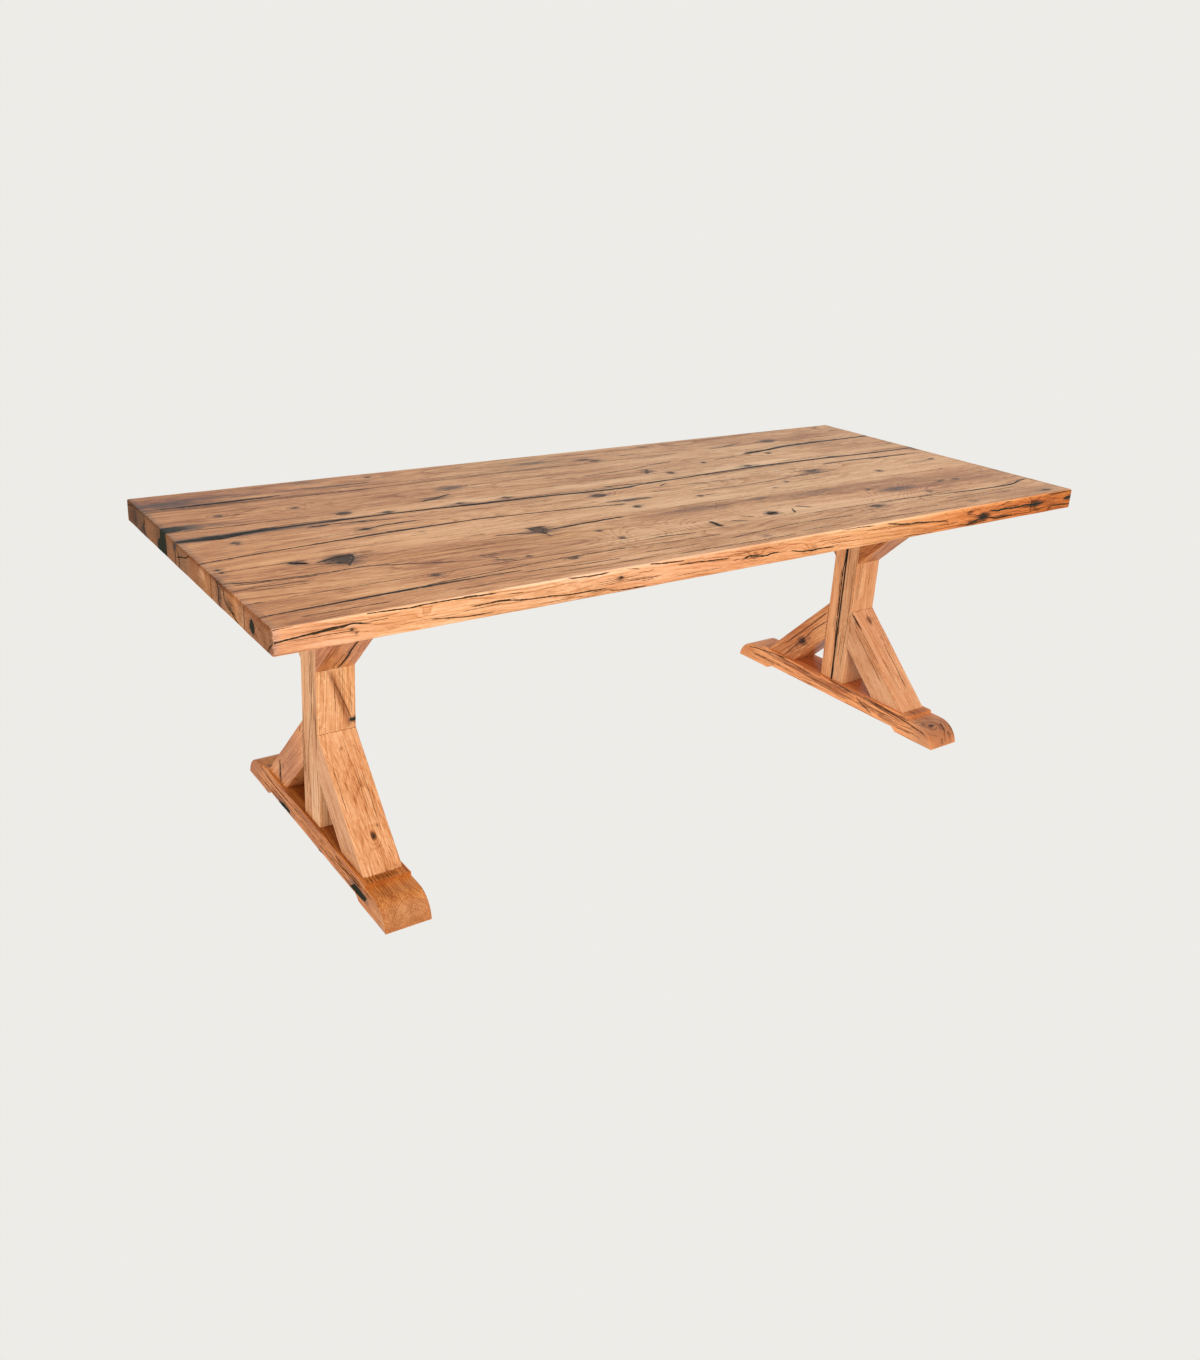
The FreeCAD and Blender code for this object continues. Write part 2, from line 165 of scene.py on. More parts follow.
camera = {
    "place": (-1.8794, -2.3759, 1.5676), "aim": (-0.5585, -0.4501, 0.75), "roll": 2.62,
    "lens": 30.957, "sensor": 36.0, "shift": (0.0313, -0.0692), "sight": 200.0,
}
lights = {
    "dome": 0.78, "domeColour": "#fffdfa",
    "key": {"place": (-0.9, -4.3, 1.7), "aim": (0.0, 0.0, 0.5), "size": (3.6, 2.0), "power": 170.0,
            "colour": "#fff1e2"},
    "side": {"place": (-4.6, -0.9, 1.5), "aim": (0.0, 0.0, 0.4), "size": (2.4, 2.0), "power": 70.0,
             "colour": "#ffe9d2"},
}
stageLook = {"colour": "#edece8", "reach": 60.0}


def turned(place, aim, roll=0.0):
    # Looks from the place to the aim, with the camera's own roll.
    look = (Vector(aim) - Vector(place)).to_track_quat("-Z", "Y").to_matrix().to_4x4()
    return Matrix.Translation(place) @ look @ Matrix.Rotation(math.radians(roll), 4, "Z")


def makeCamera():
    data = bpy.data.cameras.new("camera")
    data.lens, data.sensor_width, data.sensor_fit = camera["lens"], camera["sensor"], "AUTO"
    data.shift_x, data.shift_y = camera["shift"]
    data.clip_end = camera["sight"]
    made = addObject("camera", data)
    made.matrix_world = turned(camera["place"], camera["aim"], camera["roll"])
    bpy.context.scene.camera = made


def makeLights():
    scene = bpy.context.scene
    scene.view_settings.view_transform = "Standard"
    scene.world = bpy.data.worlds.new("studio")
    scene.world.use_nodes = True
    scene.world.node_tree.nodes.clear()
    add = partial(addNode, scene.world.node_tree)
    dome = add("ShaderNodeBackground", {"Color": linear(lights["domeColour"]), "Strength": lights["dome"]})
    seen = add("ShaderNodeBackground", {"Color": linear(stageLook["colour"]), "Strength": 1.0})
    path = add("ShaderNodeLightPath")
    mixed = add("ShaderNodeMixShader", {0: path.outputs["Is Camera Ray"], 1: dome, 2: seen})
    add("ShaderNodeOutputWorld", {"Surface": mixed})
    for name in ("key", "side"):
        look = lights[name]
        lamp = bpy.data.lights.new(name, "AREA")
        lamp.shape = "RECTANGLE"
        lamp.size, lamp.size_y = look["size"]
        lamp.energy = look["power"]
        lamp.color = linear(look["colour"])[:3]
        made = addObject(name, lamp)
        made.matrix_world = turned(look["place"], look["aim"])
        made.visible_glossy = False        # the oiled top mirrors the plain dome, not the lamps


def makeStage():
    # A pale floor that glows as evenly as the background, so the table stands on it without a shadow.
    reach = stageLook["reach"]
    mesh = bpy.data.meshes.new("floor")
    mesh.from_pydata([(-reach, -reach, 0), (reach, -reach, 0), (reach, reach, 0), (-reach, reach, 0)], [],
                     [(0, 1, 2, 3)])
    material, add = newMaterial("paleFloor")
    glow = add("ShaderNodeEmission", {"Color": linear(stageLook["colour"]), "Strength": 1.0})
    add("ShaderNodeOutputMaterial", {"Surface": glow})
    mesh.materials.append(material)
    floor = addObject("floor", mesh)


makeCamera()
makeLights()
makeStage()
print("camera, light and stage made")


# Old oak, sanded smooth and oiled. The eye gets warm brown streaks, rings with dark porous early wood, short
# open pores, fine hairlines, iron stains by old fixings, and a satin sheen that the end grain loses.
oakTop = {
    "name": "oiledOakTop",
    "pale": "#dfab7a", "mid": "#bf8350", "deep": "#874c22",
    "stainBrown": "#4a2c18", "stainBlack": "#1c1917", "knotBrown": "#5a331a",
    "roughness": 0.42, "specular": 0.5,
    "dullSides": 0.7, "calmSides": 0.34,      # upright faces lose this share of the sheen, and of the streaks
    "ringWidth": 5.2, "ring": 0.42, "drift": 16.0,
    "earlyWood": (2.6, 0.1),      # how fast it pales through a ring, and the share of the ring in which it starts
    "fleck": 0.12, "pore": 0.26, "hair": 0.3, "endGrain": 0.3,
    "ray": (11, 55, 26),          # length in millimetres, how many to a radian, and depth in millimetres
    # Noise levels between which a pore and a ray come out, and how near its middle a hairline does.
    "poreLevels": (0.57, 0.7), "rayLevels": (0.56, 0.68), "hairLevel": 0.022,
    # Each grain: length and width in millimetres, detail, roughness, and its share of the darkness.
    "grain": {
        "patch": (420, 26, 3, 0.6, 1.1),      # slow colour change, a hand wide
        "streak": (150, 4.5, 5, 0.68, 1.7),   # streaks of 3 to 8 mm, as wide as single rings
        "fine": (55, 1.9, 3, 0.62, 1.0),      # lines of pores, drawn 2 mm wide so that they show
    },
    # The same for the noises that carry no share of their own.
    "marks": {
        "pore": (20, 1.5, 2, 0.5, None), "hair": (260, 11, 1.5, 0.5, None), "ragged": (34, 3.6, 4, 0.7, None),
        "drift": (500, 60, 2, 0.5, None),
    },
}
# The same oak on the trestles, from straighter trees: finer rings, longer streaks, and less sheen.
oakFrame = dict(
    oakTop, name="oiledOakFrame", pale="#e2b68a", mid="#c68a58", deep="#8c4c20", stainBrown="#4e2b15",
    knotBrown="#7a3f16", specular=0.3, dullSides=0.0, calmSides=0.0, ringWidth=4.0, ring=0.23, drift=8.0,
    fleck=0.2, pore=0.2, hair=0.2, endGrain=0.28,
    grain={"patch": (420, 26, 3, 0.6, 1.0), "streak": (260, 4.0, 5, 0.66, 1.25), "fine": (100, 1.6, 3, 0.6, 1.1)})
# Black epoxy, poured and sanded flush. The eye gets a hard near-black fill with a low sheen; a thin shake
# is an open check, and its brown is painted shade inside the crack.
blackResin = {"name": "blackEpoxy", "colour": "#171817", "thin": "#40260f", "fleck": "#75543f", "roughness": 0.4,
              "specular": 0.08, "grit": 0.6}
# The same resin where it was sawn, at the edges of the top and on the left foot: dull, a little green.
sawnResin = dict(blackResin, name="sawnBlackEpoxy", colour="#2b2e28", roughness=0.65, specular=0.0)
# Bright zinc plate on the screws and washers: pale, a little blue, softly shiny.
zincPlate = {"name": "zincPlate", "colour": "#b9bcc2", "roughness": 0.34, "spangle": 2.0}
# Plain planed beech of the loose tongues and tenons: pale, fine, no gloss.
beech = {"name": "bareBeech", "pale": "#d9b58c", "deep": "#c79c6e", "roughness": 0.62}
eased = {"interpolation_type": "SMOOTHSTEP"}


def oakMaterial(look):
    material, add = newMaterial(look["name"])
    timber, wash = (add("ShaderNodeAttribute", attribute_name=name).outputs["Vector"] for name in ("timber", "wash"))
    ring, tone, stain, knot, endGrain, side = (
        add("ShaderNodeAttribute", attribute_name=name).outputs["Fac"]
        for name in ("ring", "tone", "stain", "knot", "endGrain", "side"))

    # Noises drawn out along the grain, each swinging about zero by its own share.
    noise = {}
    swing = -sum(share for *_, share in look["grain"].values()) / 2
    for name, (length, width, detail, rough, share) in dict(look["grain"], **look["marks"]).items():
        drawn = add("ShaderNodeVectorMath", {0: timber, 1: (1 / length, 1 / width, 1 / width)}, operation="MULTIPLY")
        noise[name] = add("ShaderNodeTexNoise", {"Vector": drawn, "Scale": 1.0, "Detail": detail, "Roughness": rough})
        if share:
            swing = add("ShaderNodeMath", {0: noise[name], 1: share, 2: swing}, operation="MULTIPLY_ADD")

    # Short open pores, and hairlines where a slow noise crosses its middle.
    low, high = look["poreLevels"]
    pore = add("ShaderNodeMapRange", {
        "Value": noise["pore"], "From Min": low, "From Max": high, "To Max": look["pore"]}, **eased)
    off = add("ShaderNodeMath", {0: noise["hair"], 1: 0.5}, operation="SUBTRACT")
    away = add("ShaderNodeMath", {0: off}, operation="ABSOLUTE")
    hair = add("ShaderNodeMapRange", {
        "Value": away, "From Max": look["hairLevel"], "To Min": look["hair"], "To Max": 0.0}, **eased)
    for value in (pore, hair):
        swing = add("ShaderNodeMath", {0: swing, 1: value}, operation="ADD")
    # Cut ends and, on the top, upright faces show less of all this.
    ends = add("ShaderNodeMath", {0: endGrain, 1: -0.6, 2: 1.0}, operation="MULTIPLY_ADD")
    calm = add("ShaderNodeMath", {0: side, 1: -look["calmSides"], 2: 1.0}, operation="MULTIPLY_ADD")
    calm = add("ShaderNodeMath", {0: ends, 1: calm}, operation="MINIMUM")
    swing = add("ShaderNodeMath", {0: swing, 1: calm}, operation="MULTIPLY")

    # Annual rings: each starts with dark porous early wood and pales towards the next one.
    strayed = add("ShaderNodeMath", {0: noise["drift"], 1: look["drift"], 2: ring}, operation="MULTIPLY_ADD")
    count = add("ShaderNodeMath", {0: strayed, 1: look["ringWidth"]}, operation="DIVIDE")
    phase = add("ShaderNodeMath", {0: count}, operation="FRACT")
    left = add("ShaderNodeMath", {0: 1.0, 1: phase}, operation="SUBTRACT")
    fall, start = look["earlyWood"]
    early = add("ShaderNodeMath", {0: left, 1: fall}, operation="POWER")
    rise = add("ShaderNodeMapRange", {"Value": phase, "From Max": start}, **eased)
    number = add("ShaderNodeMath", {0: count}, operation="FLOOR")
    each = add("ShaderNodeTexWhiteNoise", {"W": number}, noise_dimensions="1D")
    own = add("ShaderNodeMapRange", {"Value": each.outputs["Value"], "To Min": 0.25})
    dense = add("ShaderNodeMapRange", {
        "Value": noise["fine"], "From Min": 0.25, "From Max": 0.6, "To Min": 0.42}, **eased)
    porous = early
    for value in (rise, own, dense):
        porous = add("ShaderNodeMath", {0: porous, 1: value}, operation="MULTIPLY")

    # Rays run out from the heart, so they show as short lines on a flat-sawn face and as patches on a
    # quarter-sawn one.
    parts = add("ShaderNodeSeparateXYZ", {0: timber}).outputs
    turn = add("ShaderNodeMath", {0: parts[2], 1: parts[1]}, operation="ARCTAN2")
    length, toRadian, depth = look["ray"]
    rayPlace = add("ShaderNodeCombineXYZ", {
        0: add("ShaderNodeMath", {0: parts[0], 1: length}, operation="DIVIDE"),
        1: add("ShaderNodeMath", {0: turn, 1: toRadian}, operation="MULTIPLY"),
        2: add("ShaderNodeMath", {0: ring, 1: depth}, operation="DIVIDE")})
    rays = add("ShaderNodeTexNoise", {"Vector": rayPlace, "Scale": 1.0, "Detail": 1.5})
    low, high = look["rayLevels"]
    fleck = add("ShaderNodeMapRange", {"Value": rays, "From Min": low, "From Max": high}, **eased)

    dark = add("ShaderNodeMath", {0: swing, 1: tone}, operation="SUBTRACT")
    for value, share in ((porous, look["ring"] * 1.6), (endGrain, look["endGrain"]), (fleck, -look["fleck"])):
        dark = add("ShaderNodeMath", {0: value, 1: share, 2: dark}, operation="MULTIPLY_ADD")
    dark = add("ShaderNodeMath", {0: dark, 1: 0.36}, operation="ADD")
    ramp = add("ShaderNodeValToRGB", {0: dark})
    ramp.color_ramp.elements[0].color = linear(look["pale"])
    ramp.color_ramp.elements[1].color = linear(look["deep"])
    ramp.color_ramp.elements.new(0.5).color = linear(look["mid"])

    # Over the plain wood: its darkest streaks, knots, and stains and painted shade that feather along the grain.
    soak = add("ShaderNodeMath", {0: noise["ragged"], 1: 1.1, 2: -1.12}, operation="MULTIPLY_ADD")
    soak = add("ShaderNodeMath", {0: noise["streak"], 1: 1.1, 2: soak}, operation="MULTIPLY_ADD")
    soak = add("ShaderNodeMath", {0: soak, 1: stain}, operation="ADD")
    reached = add("ShaderNodeMapRange", {"Value": stain, "From Max": 0.18}, **eased)
    soak = add("ShaderNodeMath", {0: soak, 1: reached}, operation="MULTIPLY")
    colour = ramp
    for value, low, high, most, over in (
            (dark, 1.0, 1.7, 0.75, "stainBrown"), (knot, 0.0, 1.0, 0.85, "knotBrown"),
            (soak, 0.12, 0.62, 0.8, "stainBrown"), (soak, 0.55, 0.95, 0.92, "stainBlack")):
        share = add("ShaderNodeMapRange", {
            "Value": value, "From Min": low, "From Max": high, "To Max": most}, **eased)
        mixed = add("ShaderNodeMix", {0: share, 6: colour, 7: linear(look[over])}, data_type="RGBA")
        colour = mixed.outputs[2]
    # Listed zones turn some places redder or browner than others; along the foot tops it is painted shade.
    colour = add("ShaderNodeVectorMath", {0: colour, 1: wash}, operation="MULTIPLY")

    # The top is rubbed to a sheen, its sides are left dull, and end grain is duller still.
    sheen, roughness, height = look["specular"], look["roughness"] - 0.15, 0.0
    if look["dullSides"]:
        dull = add("ShaderNodeMath", {0: side, 1: look["dullSides"]}, operation="MULTIPLY")
        dull = add("ShaderNodeMath", {0: endGrain, 1: 0.8, 2: dull}, operation="MULTIPLY_ADD")
        dull = add("ShaderNodeMath", {0: dull, 1: 0.8}, operation="MINIMUM")
        sheen = add("ShaderNodeMath", {0: dull, 1: -sheen, 2: sheen}, operation="MULTIPLY_ADD")
    for value, share in ((noise["fine"], 0.3), (porous, 0.12), (endGrain, 0.25)):
        roughness = add("ShaderNodeMath", {0: value, 1: share, 2: roughness}, operation="MULTIPLY_ADD")
    for value, share in ((porous, -0.6), (noise["fine"], -0.8), (noise["streak"], -0.8)):
        height = add("ShaderNodeMath", {0: value, 1: share, 2: height}, operation="MULTIPLY_ADD")
    bump = add("ShaderNodeBump", {"Height": height, "Strength": 0.55, "Distance": 0.35 * mm})
    shader = add("ShaderNodeBsdfPrincipled", {
        "Base Color": colour, "Roughness": roughness, "Normal": bump, "IOR": 1.46, "Specular IOR Level": sheen})
    add("ShaderNodeOutputMaterial", {"Surface": shader})
    return material


def resinMaterial(look):
    material, add = newMaterial(look["name"])
    place = add("ShaderNodeTexCoord").outputs["Object"]
    # Sanding grit of about 0.6 mm, drawn coarse enough to show, and slow pools about 20 mm across.
    grit = add("ShaderNodeTexNoise", {"Vector": place, "Scale": 1 / (look["grit"] * 4 * mm), "Detail": 2.0})
    pools = add("ShaderNodeTexNoise", {"Vector": place, "Scale": 1 / (20 * mm), "Detail": 2.0})
    shine = add("ShaderNodeMath", {0: pools, 1: 0.2, 2: look["roughness"] - 0.1}, operation="MULTIPLY_ADD")
    bump = add("ShaderNodeBump", {"Height": grit, "Strength": 0.3, "Distance": 0.2 * mm})
    # Thin shakes take the brown painted shade of an open check.
    thin = add("ShaderNodeAttribute", attribute_name="thin")
    fillOrCheckShade = add("ShaderNodeMix", {
        0: thin.outputs["Fac"], 6: linear(look["colour"]), 7: linear(look["thin"])}, data_type="RGBA")
    # In a filled knot, slivers of brown wood 5 to 15 mm long stand in the resin.
    knotty = add("ShaderNodeAttribute", attribute_name="knotty")
    drawn = add("ShaderNodeMapping", {"Vector": place, "Scale": (1 / (15 * mm), 1 / (5 * mm), 1 / (5 * mm))})
    bits = add("ShaderNodeTexNoise", {"Vector": drawn, "Scale": 1.0, "Detail": 3.0, "Roughness": 0.7})
    bits = add("ShaderNodeMapRange", {"Value": bits, "From Min": 0.43, "From Max": 0.53}, **eased)
    bits = add("ShaderNodeMath", {0: bits, 1: knotty.outputs["Fac"]}, operation="MULTIPLY")
    colour = add("ShaderNodeMix", {0: bits, 6: fillOrCheckShade.outputs[2], 7: linear(look["fleck"])}, data_type="RGBA")
    shader = add("ShaderNodeBsdfPrincipled", {
        "Base Color": colour.outputs[2], "Roughness": shine, "Normal": bump, "IOR": 1.5,
        "Specular IOR Level": look["specular"]})
    add("ShaderNodeOutputMaterial", {"Surface": shader})
    return material


def zincMaterial(look):
    material, add = newMaterial(look["name"])
    place = add("ShaderNodeTexCoord").outputs["Object"]
    # Zinc grows in spangles about 2 mm across, which tilt the shine a little.
    spangle = add("ShaderNodeTexVoronoi", {"Vector": place, "Scale": 1 / (look["spangle"] * mm)})
    shine = add("ShaderNodeMath", {0: spangle.outputs["Color"], 1: 0.12, 2: look["roughness"] - 0.05},
                operation="MULTIPLY_ADD")
    shader = add("ShaderNodeBsdfPrincipled", {
        "Base Color": linear(look["colour"]), "Metallic": 1.0, "Roughness": shine})
    add("ShaderNodeOutputMaterial", {"Surface": shader})
    return material


def beechMaterial(look):
    material, add = newMaterial(look["name"])
    place = add("ShaderNodeTexCoord").outputs["Object"]
    # Fibres about 80 mm long and 1 mm wide.
    fibres = add("ShaderNodeMapping", {"Vector": place, "Scale": (12, 900, 900)})
    flecks = add("ShaderNodeTexNoise", {"Vector": fibres, "Scale": 1.0, "Detail": 3.0})
    colour = add("ShaderNodeMix", {0: flecks, 6: linear(look["pale"]), 7: linear(look["deep"])}, data_type="RGBA")
    shader = add("ShaderNodeBsdfPrincipled", {"Base Color": colour.outputs[2], "Roughness": look["roughness"]})
    add("ShaderNodeOutputMaterial", {"Surface": shader})
    return material


materials = {
    "oak_top": oakMaterial(oakTop), "oak_frame": oakMaterial(oakFrame), "black_resin": resinMaterial(blackResin),
    "zinc_steel": zincMaterial(zincPlate), "beech_inner": beechMaterial(beech),
}
sawnFinish = resinMaterial(sawnResin)
print("finishes made")


def board(origin, alongU, alongV, depth=9.0):
    # A flat face: marks are drawn on it in millimetres along U and V, W points out of the wood, and stains
    # soak in by the depth.
    u, v = Vector(alongU).normalized(), Vector(alongV).normalized()
    return {"origin": np.array(origin, float), "axes": np.array([u, v, u.cross(v)]), "depth": depth}


# The solids that carry the marks: half sizes of the top, a post and a foot, their heights, and where the
# braces meet the foot and the post.
halfLength, halfWidth, tableHeight = 1200, 488, 780
postX, postY, footX, footHeight = 48.5, 47.5, 57, 66
lowerToe, upperHeel = 294.5, 473
trestleX = {"left": -892.0, "right": 892.0}
boards = {
    "top": board((0, 0, tableHeight), (1, 0, 0), (0, 1, 0)),
    "front": board((0, -halfWidth, 0), (1, 0, 0), (0, 0, 1)),
    "back": board((0, halfWidth, 0), (-1, 0, 0), (0, 0, 1)),
    "leftEnd": board((-halfLength, 0, 0), (0, -1, 0), (0, 0, 1)),
    "rightEnd": board((halfLength, 0, 0), (0, 1, 0), (0, 0, 1)),
}
slabFaces = tuple(boards)
for side, middle in trestleX.items():
    boards[side + "PostFront"] = board((middle, -postY, 0), (1, 0, 0), (0, 0, 1))
    boards[side + "PostBack"] = board((middle, postY, 0), (-1, 0, 0), (0, 0, 1))
    boards[side + "Flank"] = board((middle - postX, 0, 0), (0, -1, 0), (0, 0, 1))
    boards[side + "FarFlank"] = board((middle + postX, 0, 0), (0, 1, 0), (0, 0, 1))
    boards[side + "FootFlank"] = board((middle - footX, 0, 0), (0, -1, 0), (0, 0, 1))
    boards[side + "FootFarFlank"] = board((middle + footX, 0, 0), (0, 1, 0), (0, 0, 1))
    boards[side + "FootTop"] = board((middle, 0, footHeight), (1, 0, 0), (0, 1, 0))
    boards[side + "FootNose"] = board((middle, 0, footHeight), (1, 0, 0), (0, 1, 0), depth=200.0)
    boards[side + "BraceFront"] = board((middle, -lowerToe, footHeight), (1, 0, 0), (0, 1, 1))
    boards[side + "BraceBack"] = board((middle, lowerToe, footHeight), (-1, 0, 0), (0, -1, 1))
    boards[side + "UpperFront"] = board((middle, -postY, upperHeel), (1, 0, 0), (0, -1, 1))
    boards[side + "UpperBack"] = board((middle, postY, upperHeel), (-1, 0, 0), (0, 1, 1))

# Marks on each face, by kind:
# shakes: half width at the widest, then the places that the line goes through, some with a share of that width
# pools: outlines of resin in filled knots, gaps and nail holes
# stains, with painted shade on the foot tops: place, half length along U, half length along V, and strength
# knots: place, radius, and how dark the heart is
# tints: wide zones, some painted shade or highlight, as place, half lengths along U and V, how much paler, and any
# slope
# washes: recoloured zones, some painted shade, as place, half lengths, and the share of red, green and blue they keep
# veins: brown bark or dense wood, as half width, strength, and the places that the line goes through
shakes, pools, stainsAndShade, knots, tints, washes, veins = ({name: [] for name in boards} for _ in range(7))

